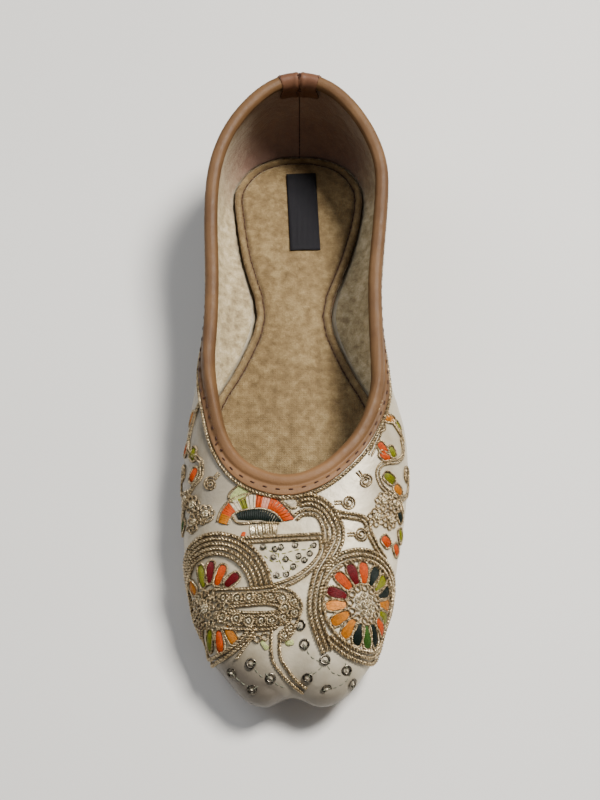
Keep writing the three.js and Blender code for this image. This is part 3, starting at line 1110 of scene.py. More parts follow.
# %% [markdown]
# The drawing itself needs few shapes: a smooth line through given corners, a circle, a spiral, and a
# line that runs beside another, for the double and triple cords.

# %% Drawn lines
def rounded(corners, steps=8):
    """A smooth line through a few drawn corners."""
    spots = [Vector(corner) for corner in corners]
    line = []
    for i in range(len(spots) - 1):
        a, b, c, d = (spots[min(max(i + k, 0), len(spots) - 1)] for k in (-1, 0, 1, 2))
        for k in range(steps):
            t = k / steps
            bend = (2 * a - 5 * b + 4 * c - d) * t**2
            line.append((2 * b + (c - a) * t + bend + (3 * b - a - 3 * c + d) * t**3) / 2)
    line.append(spots[-1])
    return line


def arc(middle, radius, start=0, end=360):
    """Part of a circle, its angles in degrees, anticlockwise from +s."""
    count = max(6, round(abs(math.radians(end - start)) * radius))
    turns = [math.radians(start + (end - start) * k / count) for k in range(count + 1)]
    return [Vector((middle[0] + radius * math.cos(a), middle[1] + radius * math.sin(a))) for a in turns]


def spiral(middle, inner, outer, turns, start=0):
    count = round(turns * 16)
    line = []
    for k in range(count + 1):
        angle = math.radians(start) + turns * math.tau * k / count
        radius = outer + (inner - outer) * k / count
        line.append(Vector((middle[0] + radius * math.cos(angle), middle[1] + radius * math.sin(angle))))
    return line


def beside(line, distance):
    """A line that runs at a distance to the left of another."""
    made = []
    for k, point in enumerate(line):
        onward = (line[min(k + 1, len(line) - 1)] - line[max(k - 1, 0)]).normalized()
        made.append(point + Vector((-onward.y, onward.x)) * distance)
    return made


print("a circle of 15 mm is drawn with", len(arc((0, 0), 15)), "points")

# %% [markdown]
# A drawn line is laid on the satin as runs of points with their normals, an even step apart. Where the
# drawing leaves the satin, a run ends, as the real cords do where they are cut at the sole.

# %% Laying a line
def laid(line, place, step):
    runs = [[]]
    for spot in line:
        found = place(*spot)
        if found is None:
            runs.append([])
        else:
            runs[-1].append(found)
    return [even_run(run, step) for run in runs if len(run) > 3]


def even_run(run, step):
    """The same run with its points a step apart, in millimetres, and its normals smoothed."""
    made = []
    owed = 0.0
    for (a, normal_a), (b, normal_b) in zip(run, run[1:]):
        gap = (b - a).length
        reached = owed
        while reached < gap:
            share = reached / gap
            made.append([a.lerp(b, share), normal_a.lerp(normal_b, share).normalized()])
            reached += step * MM
        owed = reached - gap
    for _ in range(3):
        middle = made[1:-1]
        smoothed = [
            [(before[k] + 2 * here[k] + after[k]) / 4 for k in (0, 1)]
            for before, here, after in zip(made, middle, made[2:])
        ]
        made[1:-1] = [[point, normal.normalized()] for point, normal in smoothed]
    return made


trial = laid(rounded([(-10, -80), (10, -80)]), vamp, 1)
print("20 mm across the vamp is laid with", len(trial[0]), "points")

# %% [markdown]
# ### Thread and twisted cord
# Every stitch is a short curve with a round bevel, and a curve object may hold thousands of them and become
# one mesh. A couched zari cord is two plies that wind round each other, so it is two helices round the laid
# line. The grains of light on the real cord come from those windings.

# %% Strands
CORD_THICKNESS = 1.62
CORD_TURN = 2.5
PLIES = 2
PLY_REACH = 0.26
PLY_RADIUS = 0.255
TURN_POINTS = 7


class Needlework:
    """Gathers strands, then makes one piece of them."""

    def __init__(self):
        self.strands = []

    def strand(self, points, radius, finish=0):
        """One thread through points, its radius in millimetres."""
        if len(points) > 1:
            self.strands.append((points, radius, finish))

    def cord(self, run, thickness, turn, lift=0.42, finish=0):
        """A twisted cord along a laid run. Its thickness and the length of a turn are in millimetres."""
        for ply in range(PLIES):
            points = []
            travelled = 0.0
            for k, (point, normal) in enumerate(run):
                onward = (run[min(k + 1, len(run) - 1)][0] - run[max(k - 1, 0)][0]).normalized()
                aside = normal.cross(onward)
                if k:
                    travelled += (point - run[k - 1][0]).length / MM
                angle = math.tau * (travelled / turn + ply / PLIES)
                reach = PLY_REACH * thickness * MM
                offset = normal * math.sin(angle) * reach + aside * math.cos(angle) * reach
                points.append(point + normal * lift * thickness * MM + offset)
            self.strand(points, PLY_RADIUS * thickness, finish)

    def couched(self, line, place, thickness=CORD_THICKNESS, turn=CORD_TURN, **settings):
        """Draws a line and couches a cord along it."""
        for run in laid(line, place, turn / TURN_POINTS):
            self.cord(run, thickness, turn, **settings)

    def made(self, name):
        """The strands as one mesh, each six-sided."""
        data = bpy.data.curves.new(name, "CURVE")
        data.dimensions = "3D"
        data.bevel_depth = MM
        data.bevel_resolution = 1
        data.use_fill_caps = True
        for _ in range(1 + max(finish for _, _, finish in self.strands)):
            data.materials.append(None)
        for points, radius, finish in self.strands:
            spline = data.splines.new("POLY")
            spline.points.add(len(points) - 1)
            spline.points.foreach_set("co", [c for p in points for c in (*p, 1)])
            spline.points.foreach_set("radius", [radius] * len(points))
            spline.material_index = finish
        return settle(new_object(name, data))


print("one ply of the usual cord is", round(2 * PLY_RADIUS * CORD_THICKNESS, 2), "mm thick")

# %% [markdown]
# ### The two wheels and their cords
# The left wheel has five rings of cord over its top and two round its foot. The right one has three, and
# the cords of the long S run down its inner side. Places are in millimetres on the drawing.

# %% Wheels
LEFT_WHEEL = (-31, -92)
RIGHT_WHEEL = (25, -94)
ROW = 1.75
LEFT_TOP_RADII = [15.8 + ROW * k for k in range(5)]
LEFT_FOOT_RADII = [18.4, 20.1]
RIGHT_RADIUS = 15.3

wheels = Needlework()
for radius in LEFT_TOP_RADII:
    wheels.couched(arc(LEFT_WHEEL, radius, 10, 215), vamp)
for radius in LEFT_FOOT_RADII:
    wheels.couched(arc(LEFT_WHEEL, radius, 215, 328), vamp)
wheels.couched(arc(RIGHT_WHEEL, RIGHT_RADIUS), vamp)
for radius in (RIGHT_RADIUS + ROW, RIGHT_RADIUS + 2 * ROW):
    wheels.couched(arc(RIGHT_WHEEL, radius, -138, 146), vamp)
hand_over(wheels.made("zari_wheels"), ZARI)

# %% [markdown]
# ### The S cords, the square and the toe cords
# The swan's neck is three cords side by side from the throat to the right wheel, with a second hook inside
# it and a branch that runs out to the flank. A double cord frames a square of bare satin, and two single
# cords run from the middle band to the toe.

# %% Long cords
NECK = [(1.5, -58.6), (6.3, -58.2), (11.4, -61.2), (14.8, -66.8), (15.2, -72.2), (12.6, -77.8), (8.8, -84.4)]
NECK += [(6.7, -93.7), (7.6, -101.4), (11.4, -110.6)]
HOOK = [(0, -65), (2.6, -63), (7.2, -63), (9.8, -66), (10.9, -70.6), (10.7, -74)]
BRANCH = [(12.8, -62.4), (17.4, -63.3), (25, -64.2), (27.2, -69), (30.2, -73.6), (34, -77.2)]
SQUARE_TOP = [(-19.2, -72.5), (-11.7, -72.5), (-1.4, -72), (10.2, -71.3)]
SQUARE_SIDE = [(9.6, -72), (9.7, -76.6), (6.8, -81.4), (1.6, -85.6), (-4, -88.2), (-8.6, -89.6)]
TOE_LEFT = [(-8.3, -104), (-8.3, -112.5), (-5.5, -117), (-0.6, -120.6), (3.6, -123)]
TOE_RIGHT = [(-5.3, -105), (-5.4, -112), (-2.2, -116.6), (1.4, -119.8), (4.6, -121.8)]

cords = Needlework()
for offset in (-ROW, 0, ROW):
    cords.couched(beside(rounded(NECK), offset), vamp)
for route, offsets in (
    (HOOK, (-0.85, 0.85)),
    (BRANCH, (-0.85, 0.85)),
    (SQUARE_TOP, (-0.8, 0.8)),
    (SQUARE_SIDE, (-0.8, 0.8)),
    (TOE_LEFT, (0,)),
    (TOE_RIGHT, (0,)),
):
    for offset in offsets:
        cords.couched(beside(rounded(route), offset), vamp, thickness=1.35, turn=2.2)
hand_over(cords.made("zari_long_cords"), ZARI)

# %% [markdown]
# ### The band of loops
# Between the wheel's hub and the square lies a broad band: two rows of ringed loops with a slit of bare
# satin between them, closed at its right end by more loops, all edged with cord. Knots and thin rows of
# cord fill the space round the loops, so that no satin shows there.

# %% Loops
LOOPS = [(-36, -90.3), (-25.8, -92), (-20.7, -92.6), (-16.4, -92.5), (-12.7, -92.7), (-8.8, -92.4)]
LOOPS += [(-4.6, -93.1), (-26.2, -98.1), (-20.9, -99.3), (-16.5, -100.3), (-12.1, -100.5), (-8.4, -100.5)]
LOOPS += [(-4.2, -99.5), (-0.6, -94), (0, -97.7), (-3.8, -96.4), (-1.8, -103), (-4, -105.3)]
LOOP_RADIUS = 1.75
KNOTS = [(-23.2, -92.4), (-18.5, -92.7), (-14.5, -92.5), (-10.8, -92.6), (-6.7, -92.7), (-2.6, -92.9)]
KNOTS += [(-23.5, -98.8), (-18.7, -99.8), (-14.3, -100.6), (-10.2, -100.6), (-6.2, -100.1), (-1.9, -99.4)]
KNOTS += [(-30.6, -91.2), (-28.4, -97.4), (-1.6, -95.9), (-3.4, -103.9)]
BAND_ROWS = [
    [(-30, -90.3), (-22, -90.9), (-14, -91), (-8, -90.8), (-3.4, -91.4), (-0.4, -93), (0.6, -96.2)],
    [(-25, -93.9), (-17, -94.2), (-10, -94.2), (-6, -94.6), (-3, -95)],
    [(-26, -97), (-17, -98.6), (-10, -98.9), (-5, -98), (-2.4, -97.6)],
    [(-29, -99.4), (-20, -101.5), (-13, -102.2), (-8, -102.2), (-3.4, -101.4), (-1.2, -99.8)],
]
BAND_EDGES = [
    [(-30, -88.6), (-22, -89.4), (-14, -89.6), (-8, -89.2), (-3, -90), (1.2, -93), (2.3, -96.6)]
    + [(0.4, -101.4), (-2.6, -107)],
    [(-23, -95.2), (-17, -95.2), (-11, -95), (-7, -95.6), (-5.6, -96.6)],
    [(-23, -96.6), (-17, -97.6), (-11, -97.9), (-7, -97.6), (-5.6, -96.6)],
    [(-30, -100.8), (-22, -102.6), (-14, -103.4), (-9, -103.4), (-6, -102.6)],
    [(-13.5, -104.8), (-17, -108), (-21, -112.4)],
]

loops = Needlework()
for middle in LOOPS:
    loops.couched(arc(middle, LOOP_RADIUS), vamp, thickness=1.0, turn=1.7, lift=0.9)
    loops.couched(arc(middle, 0.7), vamp, thickness=0.8, turn=1.5, lift=0.7, finish=1)
for spot in KNOTS:
    loops.couched(spiral(spot, 0.15, 0.75, 2), vamp, thickness=0.75, turn=1.4, lift=1.0)
for row in BAND_ROWS:
    loops.couched(rounded(row), vamp, thickness=1.0, turn=1.7)
for edge in BAND_EDGES:
    loops.couched(rounded(edge), vamp, thickness=1.25, turn=2.1, lift=0.55)
hand_over(loops.made("zari_loops"), [ZARI, BRIGHT_ZARI])

# %% [markdown]
# ### Silk petals
# A petal is satin stitch: threads laid side by side from end to end, longest in the middle, that rise over
# a little padding. A fine chain of metal thread outlines each. A petal is given by its inner and outer end,
# its width and its colour. All petals are gathered in one piece, and all their outlines in another.

# %% Petal stitch
THREAD_GAP = 0.42
THREAD_RADIUS = 0.24


def petal(work, chains, place, start, end, width, colour, rise=0.55, outline=True):
    start, end = Vector(start), Vector(end)
    run = end - start
    aside = Vector((-run.y, run.x)).normalized()
    count = max(3, round(width / THREAD_GAP))
    for k in range(count):
        across = (k + 0.5) / count * 2 - 1
        cut = 0.32 - 0.32 * math.sqrt(max(0.0, 1 - abs(across) ** 4))
        points = []
        for j in range(7):
            share = cut + (1 - 2 * cut) * j / 6
            spot = start + run * share + aside * across * width / 2 * (0.74 + 0.42 * share)
            found = place(*spot)
            if found is None:
                continue
            height = 0.1 + rise * math.sin(math.pi * j / 6) ** 0.5 * (1 - 0.45 * across * across)
            points.append(found[0] + found[1] * height * MM)
        work.strand(points, THREAD_RADIUS, SILK_NAMES.index(colour))
    if outline:
        middle = start + run / 2
        rim_line = []
        for k in range(25):
            angle = math.tau * k / 24
            out, along = math.sin(angle), math.cos(angle)
            squared = (abs(out) ** 3 + abs(along) ** 3) ** (-1 / 3)
            spot = middle + run * along * squared * 0.5 * (1 + 1.2 / run.length)
            rim_line.append(spot + aside * out * squared * (width / 2 + 0.5))
        chains.couched(rim_line, place, thickness=0.92, turn=1.5)


petals = Needlework()
chains = Needlework()
print("a 3.2 mm petal has", round(3.2 / THREAD_GAP), "threads")

# %% [markdown]
# The right wheel has a petal every twenty degrees or so, given by the angle it points at. The left wheel is
# half hidden by the band, so its petals are given one by one.

# %% Petals of the wheels
RIGHT_HUB = 7.2
RIGHT_PETALS = {
    165: "dark_red", 138: "orange", 114: "dark_red", 92: "orange", 69: "dark_green", 50: "olive",
    31: "dark_green", 10: "amber", -12: "olive", -34: "orange", 187: "peach", 211: "amber",
    235: "amber", 256: "dark_green", 276: "leaf", 296: "dark_green",
}
LEFT_PETALS = [
    ((-34, -87), (-35.6, -79.4), "olive"),
    ((-31.7, -86), (-30.6, -79), "dark_red"),
    ((-28.6, -87.2), (-25.6, -81), "orange"),
    ((-25, -88), (-20.4, -84.6), "dark_red"),
    ((-24.8, -101.8), (-21, -107.6), "amber"),
    ((-28, -102.6), (-27.2, -109.4), "orange"),
    ((-31.8, -101.6), (-33.4, -108), "olive"),
    ((-37, -98.6), (-42, -103), "dark_red"),
    ((-38.4, -88), (-43, -83.6), "amber"),
]

middle = Vector(RIGHT_WHEEL)
for angle, colour in RIGHT_PETALS.items():
    aim = Vector((math.cos(math.radians(angle)), math.sin(math.radians(angle))))
    petal(petals, chains, vamp, middle + aim * RIGHT_HUB, middle + aim * (RIGHT_RADIUS - 1.2), 3.2, colour)
for start, end, colour in LEFT_PETALS:
    petal(petals, chains, vamp, start, end, 2.9, colour)
print(len(RIGHT_PETALS) + len(LEFT_PETALS), "petals,", len(petals.strands), "threads")

# %% [markdown]
# ### The parasol
# Above the square stands a half-round parasol. Its canopy is a band of satin stitch, worked from the inner
# edge to the outer one, in stripes of several colours. Under it lie a dark lens, a silver cord and a ribbed
# silver patch.

# %% Parasol
CANOPY_TOP = [(-27.8, -65.4), (-26.9, -62.4), (-24.5, -59.1), (-19.4, -56.8), (-12.8, -56.1), (-8.1, -57.5)]
CANOPY_TOP += [(-3.9, -61.2), (-0.7, -65.2)]
CANOPY_FOOT = [(-24.8, -66.4), (-23.6, -64), (-22, -62.2), (-18, -61.1), (-13.5, -60.8), (-9.6, -61.5)]
CANOPY_FOOT += [(-6.6, -63.2), (-4.2, -66)]
CANOPY_STRIPES = ["amber", "amber", "orange", "orange", "cream", "olive", "cream", "orange", "pink"]
CANOPY_STRIPES += ["orange"] * 4
LENS_TOP = [(-21.4, -62.4), (-17, -61.9), (-13.4, -61.8), (-8.6, -63), (-4.5, -65.6)]
LENS_FOOT = [(-20.4, -65), (-17, -65.5), (-13.2, -65.4), (-9.8, -66), (-5.6, -66.2)]
PATCH_TOP = [(-16.1, -67.3), (-11.5, -67.2), (-6.9, -66.9)]
PATCH_FOOT = [(-15.7, -70.8), (-11.2, -70.8), (-6.7, -70.4)]
LENS_CORD = [(-22.6, -63.6), (-21.6, -65.6), (-19.2, -66.6), (-14.1, -66.4), (-8.6, -66.8), (-5.6, -67)]


def stitched_band(work, place, top, foot, colours, gap=0.42, radius=THREAD_RADIUS, rise=0.5):
    """Threads side by side between two drawn lines, in as many stripes as there are colours."""
    top_line, foot_line = rounded(top, steps=16), rounded(foot, steps=16)
    length = sum((b - a).length for a, b in zip(top_line, top_line[1:]))
    count = round(length / gap)
    for k in range(count + 1):
        share = k / count
        ends = [line[min(round(share * (len(line) - 1)), len(line) - 1)] for line in (foot_line, top_line)]
        points = []
        for j in range(6):
            found = place(*ends[0].lerp(ends[1], j / 5))
            if found is not None:
                height = 0.1 + rise * math.sin(math.pi * j / 5) ** 0.5
                points.append(found[0] + found[1] * height * MM)
        colour = colours[min(int(share * len(colours)), len(colours) - 1)]
        work.strand(points, radius, colour)


stitched_band(petals, vamp, CANOPY_TOP, CANOPY_FOOT, [SILK_NAMES.index(c) for c in CANOPY_STRIPES])
stitched_band(petals, vamp, LENS_TOP, LENS_FOOT, [SILK_NAMES.index("dark_green")], rise=0.35)
stitched_band(chains, vamp, PATCH_TOP, PATCH_FOOT, [1], gap=0.8, radius=0.4, rise=0.3)
chains.couched(beside(rounded(CANOPY_TOP), 0.7), vamp, thickness=0.9, turn=1.6)
chains.couched(beside(rounded(CANOPY_FOOT), -0.5), vamp, thickness=0.8, turn=1.4, finish=1)
chains.couched(rounded(LENS_CORD), vamp, thickness=1.0, turn=1.7)
petal(petals, chains, vamp, (-18.4, -69.7), (-18.9, -72.4), 1.6, "orange", outline=False)
petal(petals, chains, vamp, (-23.2, -57.6), (-17.6, -53.4), 4.4, "pale_green", rise=0.3)
petal(petals, chains, vamp, (-4.2, -57.6), (0.2, -60.2), 2.6, "cream", rise=0.25)
petal(petals, chains, vamp, (-3.4, -108), (-0.6, -107.4), 1.5, "pale_green", outline=False)
petal(petals, chains, vamp, (-11.8, -107.4), (-9.8, -110), 1.5, "pale_green", outline=False)
print(len(petals.strands), "threads with the parasol")

# %% [markdown]
# ### Hubs
# Both wheels have a boss of small metal rings round a bright middle, packed like a flower head. Rings of
# cord stand on circles, and a few lie loose between the left hub and the band.

# %% Hubs
def ring_of_rings(work, place, middle, radius, count, size, **settings):
    """Small cord rings, evenly round a circle."""
    for k in range(count):
        angle = math.tau * k / count
        spot = (middle[0] + radius * math.cos(angle), middle[1] + radius * math.sin(angle))
        work.couched(arc(spot, size), place, **settings)


hubs = Needlework()
LEFT_HUB = (-33, -94.5)
ring_of_rings(hubs, vamp, RIGHT_WHEEL, 5.6, 12, 1.1, thickness=0.8, turn=1.3, lift=0.8)
ring_of_rings(hubs, vamp, RIGHT_WHEEL, 2.9, 7, 1.0, thickness=0.8, turn=1.3, lift=1.2, finish=1)
hubs.couched(spiral(RIGHT_WHEEL, 0.3, 1.5, 2), vamp, thickness=0.9, turn=1.3, lift=1.6, finish=1)
ring_of_rings(hubs, vamp, LEFT_HUB, 5.4, 11, 1.15, thickness=0.85, turn=1.3, lift=0.8)
ring_of_rings(hubs, vamp, LEFT_HUB, 2.7, 6, 1.05, thickness=0.85, turn=1.3, lift=1.2)
hubs.couched(spiral(LEFT_HUB, 0.3, 1.5, 2), vamp, thickness=0.9, turn=1.3, lift=1.6, finish=1)
LOOSE_RINGS = [(-40, -91), (-40.8, -94.6), (-40.2, -98.2), (-38.2, -101), (-24.6, -94.9), (-22.8, -96.4)]
LOOSE_RINGS += [(-13.2, -106.4), (-10.6, -105.8)]
for spot in LOOSE_RINGS:
    hubs.couched(arc(spot, 1.2), vamp, thickness=0.85, turn=1.3, lift=0.8)
hand_over(hubs.made("zari_hubs"), [ZARI, BRIGHT_ZARI])

# %% [markdown]
# ### Sequins
# A sequin is a thin dished ring, held down by a knot of thread in its middle. One small section is spun
# into a ring once. Each sequin is then a copy of it, turned to the satin and tilted a little, because no
# two lie alike.

# %% Sequins
SEQUIN_SIDES = 14
WIDE_RING = (1.95, 1.05, 0.16)
SMALL_RING = (1.15, 0.6, 0.14)


def ring_mesh(outer, inner, thickness):
    """A dished ring, spun from a four-cornered section."""
    bm = bmesh.new()
    corners = [(inner, 0.0), (outer, 0.22), (outer, 0.22 + thickness), (inner, thickness)]
    verts = [bm.verts.new((x * MM, 0, z * MM)) for x, z in corners]
    edges = [bm.edges.new((verts[k], verts[(k + 1) % 4])) for k in range(4)]
    bmesh.ops.spin(
        bm,
        geom=verts + edges,
        cent=(0, 0, 0),
        axis=(0, 0, 1),
        angle=math.tau,
        steps=SEQUIN_SIDES,
        use_merge=True,
    )
    bmesh.ops.remove_doubles(bm, verts=bm.verts, dist=MERGE_WITHIN * MM)
    bmesh.ops.recalc_face_normals(bm, faces=bm.faces)
    mesh = bpy.data.meshes.new("ring")
    bm.to_mesh(mesh)
    bm.free()
    return mesh


def stamp(bm, mesh, point, normal, tilt, height):
    """Adds a copy of a small mesh to a bmesh, standing on the satin."""
    before = len(bm.verts)
    bm.from_mesh(mesh)
    bm.verts.ensure_lookup_table()
    fresh = bm.verts[before:]
    leaning = (normal + Vector(tilt)).normalized()
    turn = leaning.to_track_quat("Z", "Y").to_matrix().to_4x4()
    bmesh.ops.transform(
        bm,
        matrix=Matrix.Translation(point + normal * height * MM) @ turn,
        verts=fresh,
    )


TOE_SEQUINS = [(-15.7, -114.3), (-9, -119), (3.3, -108.2), (4.7, -118.8), (11.6, -122.1), (10.5, -113.2)]
TOE_SEQUINS += [(18.5, -116), (1.9, -102), (-15.8, -122.3), (-23.5, -116.4), (21.5, -119.6)]
VINE_SEQUINS = [(-11.4, -75.3), (-7.2, -76.1), (-5, -75.4), (0, -74.6), (6.5, -74.6), (-7.8, -78.9)]
VINE_SEQUINS += [(-3.4, -79.6), (1.3, -78.5), (3.3, -79.9), (-3.2, -84.8), (-6.6, -85.2), (5.2, -77.6)]
VINE_SEQUINS += [(-0.6, -82.2)]
KNOT_SHARES = (-0.15, 0.1, 0.4, 0.7, 0.95)
KNOT_HEIGHTS = (0.2, 0.62, 0.66, 0.5, -0.1)

knots = Needlework()
sequin_bm = bmesh.new()
wide_ring = ring_mesh(*WIDE_RING)
small_ring = ring_mesh(*SMALL_RING)
for mesh, spots, knot_length in ((wide_ring, TOE_SEQUINS, 2.4), (small_ring, VINE_SEQUINS, 1.5)):
    for index, spot in enumerate(spots):
        found = vamp(*spot)
        if found is None:
            continue
        lean = (0.16 * math.sin(5.1 * index), 0.16 * math.cos(3.7 * index), 0)
        stamp(sequin_bm, mesh, *found, lean, 0.12)
        angle = 2.4 * index
        tail = Vector((math.cos(angle), math.sin(angle))) * knot_length
        stitch = [vamp(*(Vector(spot) + tail * share)) for share in KNOT_SHARES]
        points = [f[0] + f[1] * h * MM for f, h in zip(stitch, KNOT_HEIGHTS) if f]
        knots.strand(points, 0.15, SILK_NAMES.index("grey"))
        knots.strand([p + found[1] * 0.1 * MM for p in points[:2]], 0.34, SILK_NAMES.index("cream"))
hand_over(new_object("sequins", sequin_bm), SEQUIN)

# %% [markdown]
# ### Vines, tails and spiral flowers
# Thin running stitches join the sequins: short threads with a gap after each. The little flowers on the
# bare satin are two turns of fine chain with a stem of two rows.

# %% Running stitches and flowers
STITCH_STEP = 0.3


def stitch_row(work, run, pitch, length, radius, finish, rise=0.16, sink=0.05, swell=1):
    """Short threads along a run whose points are STITCH_STEP apart, each sunk at both ends."""
    count = round(length / STITCH_STEP)
    for start in range(0, len(run) - count, round(pitch / STITCH_STEP)):
        points = []
        for k in range(count + 1):
            point, normal = run[start + k]
            points.append(point + normal * (rise * math.sin(math.pi * k / count) ** swell - sink) * MM)
        work.strand(points, radius, finish)


def running(line, colour):
    for run in laid(line, vamp, STITCH_STEP):
        finish = SILK_NAMES.index(colour)
        stitch_row(knots, run, 2.3, 1.5, radius=0.16, finish=finish, rise=0.22, sink=0.04, swell=0.6)


VINES = [
    [(-11.4, -75.3), (-7.2, -77.6), (-4, -77.6), (0, -76.4), (4, -76.2), (6.5, -74.6)],
    [(-11, -78.4), (-7.8, -80.6), (-3.4, -79.6), (0, -80.6), (3.3, -79.9)],
    [(-9, -83), (-6.6, -86.4), (-3.2, -84.8), (-0.6, -82.2), (2, -82)],
    [(-5, -75.4), (-6, -79), (-3.2, -84.8)],
]
TAILS = [
    [(3.3, -108.2), (5, -111.6), (8, -113.6), (10.5, -113.2)],
    [(10.5, -113.2), (11.2, -114.7), (13.3, -117.1), (17.1, -118)],
    [(-15.7, -114.3), (-14.7, -115.8), (-11.8, -118.7), (-9, -119)],
    [(-9, -119), (-6.8, -120.8), (-3, -121.4)],
    [(4.7, -118.8), (7.4, -117.2), (9.4, -115.6)],
    [(11.6, -122.1), (14.8, -121.6), (18.5, -119.4), (20.5, -116.5)],
    [(-23.5, -116.4), (-20, -119.6), (-15.8, -122.3)],
]
FLOWERS = [
    ((19.4, -58.4), (14.2, -58.9), vamp),
    ((23.9, -69.6), (16.8, -70.6), vamp),
    ((41.2, -49.9), (45.7, -46.2), flank(1)),
    ((37.6, -50.8), (42.3, -46.5), flank(-1)),
]

for vine in VINES:
    running(rounded(vine), "olive")
for tail in TAILS:
    running(rounded(tail), "grey")
flowers = Needlework()
for middle, tip, place in FLOWERS:
    out = (Vector(tip) - Vector(middle)).normalized()
    start = math.degrees(math.atan2(out.y, out.x))
    flowers.couched(spiral(middle, 0.5, 2.7, 2.3, start), place, thickness=0.75, turn=1.2, lift=0.5)
    for side in (-0.5, 0.5):
        stem = beside([Vector(middle) + out * 2.4 + out * k * 0.5 for k in range(7)], side)
        flowers.couched(stem, place, thickness=0.7, turn=1.2)
hand_over(flowers.made("zari_flowers"), ZARI)

# %% [markdown]
# ### The flanks
# On each side a scroll of fine cord climbs from the vamp, with leaves and small rosettes. Only the front of
# it is known, so it ends in a plain tendril and the quarters behind it are left bare.

# %% Flank sprigs
OUTER_LEAVES = [
    ((34.3, -46.2), (29.7, -48.1), 3.0, "olive"),
    ((28.6, -49.2), (24.4, -51.4), 3.0, "amber"),
    ((38.2, -24.4), (33.2, -23.6), 2.4, "amber"),
    ((32.6, -24.2), (29.2, -26.4), 2.0, "olive"),
    ((38.6, -34.8), (35.2, -38.2), 2.6, "orange"),
    ((37.6, -38.6), (33.4, -40.4), 2.6, "orange"),
    ((33.6, -35.2), (31.2, -38.4), 2.4, "olive"),
    ((24.6, -58), (21.2, -60.6), 2.6, "dark_green"),
    ((21.4, -63.8), (17.6, -67.4), 2.8, "olive"),
    ((29.6, -69.2), (25.4, -71.6), 2.8, "orange"),
    ((22.6, -70.2), (18.4, -73), 2.8, "orange"),
]
INNER_LEAVES = [
    ((32.6, -35), (29.6, -39.2), 3.0, "olive"),
    ((32, -43.4), (28.4, -47.4), 3.0, "orange"),
    ((29.8, -19.2), (28, -24), 2.6, "amber"),
    ((27.2, -30.6), (23.6, -34.4), 2.6, "orange"),
    ((20.6, -60), (17.2, -63.8), 2.6, "leaf"),
]
OUTER_SCROLLS = [
    [(40.6, -14.6), (39, -19.6), (34.2, -24.6), (27.4, -29.6), (25.6, -35), (28, -38.6), (31.4, -40.6)],
    [(31.4, -40.6), (36.4, -42.6), (37.4, -46.6), (33.4, -51.2), (26.4, -53.4), (21.4, -57.6)],
    [(41.2, -17), (38.6, -28), (39.8, -34.4), (41.4, -40)],
    [(24.2, -52.4), (19.6, -50), (17, -45), (18.4, -40.4), (22.2, -39.6), (23, -43.4), (20.4, -44.6)],
]
INNER_SCROLLS = [
    [(38, -14.6), (33.4, -18.4), (29.4, -24.6), (27, -31.6), (30, -36.4), (34.6, -41.4)],
    [(34.6, -41.4), (34, -47), (28.8, -50.6), (23, -54.6), (18.4, -60.4)],
    [(24, -51.4), (19, -48.8), (16.6, -43.6), (18.4, -39), (22, -39), (22.4, -42.6), (20, -43.8)],
]
ROSETTES = [(33.4, -56.2, 1), (28.3, -62.3, 1), (27.6, -55.4, 1), (34.4, -62.6, 1)]
ROSETTES += [(28.3, -56.6, -1), (23.9, -53.1, -1), (33.6, -61.6, -1), (27.6, -63.4, -1)]

sprigs = Needlework()
for side, leaves, scrolls in ((1, OUTER_LEAVES, OUTER_SCROLLS), (-1, INNER_LEAVES, INNER_SCROLLS)):
    for start, end, width, colour in leaves:
        petal(petals, chains, flank(side), start, end, width, colour)
    for scroll in scrolls:
        for offset in (-0.6, 0.6):
            sprigs.couched(beside(rounded(scroll), offset), flank(side), thickness=0.95, turn=1.7)
for h, y, side in ROSETTES:
    ring_of_rings(sprigs, flank(side), (h, y), 2.6, 7, 1.1, thickness=0.75, turn=1.2, lift=0.6)
    sprigs.couched(spiral((h, y), 0.3, 1.3, 1.6), flank(side), thickness=0.8, turn=1.2, lift=0.9, finish=1)
hand_over(sprigs.made("zari_sprigs"), [ZARI, BRIGHT_ZARI])
hand_over(petals.made("silk_petals"), list(SILKS.values()))
hand_over(chains.made("zari_chains"), [ZARI, BRIGHT_ZARI])

# %% [markdown]
# ## The border cord and the sewn seams
# A twisted cord hides the edge of the binding. It is laid from the binding's own edge line: each point
# steps a little further from the collar and drops to the satin. The binding's stitches step the other way,
# onto the strip.

# %% Border cord and binding stitches
BORDER_INSET = 1.0
BINDING_INSET = 2.3
TAB_FROM = 108


def dropped(points, surface):
    return [list(surface.find_nearest(point)[:2]) for point in points]


def stepped(line, distance, surface, above=0.0):
    """A line moved from the collar, or towards it, and dropped on a surface from a little above the satin."""
    moved = []
    for point in line:
        away = (point - rim_tree.find(point)[0]).normalized()
        up = satin_surface.find_nearest(point)[1]
        moved.append(point + (away * distance + up * above) * MM)
    return dropped(moved, surface)


border = Needlework()
edge_line = evenly(binding_edge, 0.6 * MM)
border_run = even_run(stepped(edge_line, BORDER_INSET, satin_surface), 0.36)
border.cord(border_run, thickness=1.5, turn=CORD_TURN, lift=0.55)
hand_over(border.made("zari_border"), ZARI)


def kept_runs(run, keep):
    """The parts of a run whose points pass a test, each a run of its own."""
    runs = [[]]
    for spot in run:
        if keep(spot[0]):
            runs[-1].append(spot)
        else:
            runs.append([])
    return [part for part in runs if len(part) > 20]


BROWN = SILK_NAMES.index("brown")
strip_run = even_run(stepped(edge_line, -BINDING_INSET, surface_of(binding), 2.5), STITCH_STEP)
for part in kept_runs(strip_run, lambda p: p.y < TAB_FROM * MM):
    stitch_row(knots, part, pitch=4.7, length=1.5, radius=0.3, finish=BROWN)

# %% [markdown]
# The tab is held by a row of stitches down each side and one along its seam, and the lining's back seam is
# whipped with dark thread. Rays shot backwards from inside the shoe find the lining at each height.

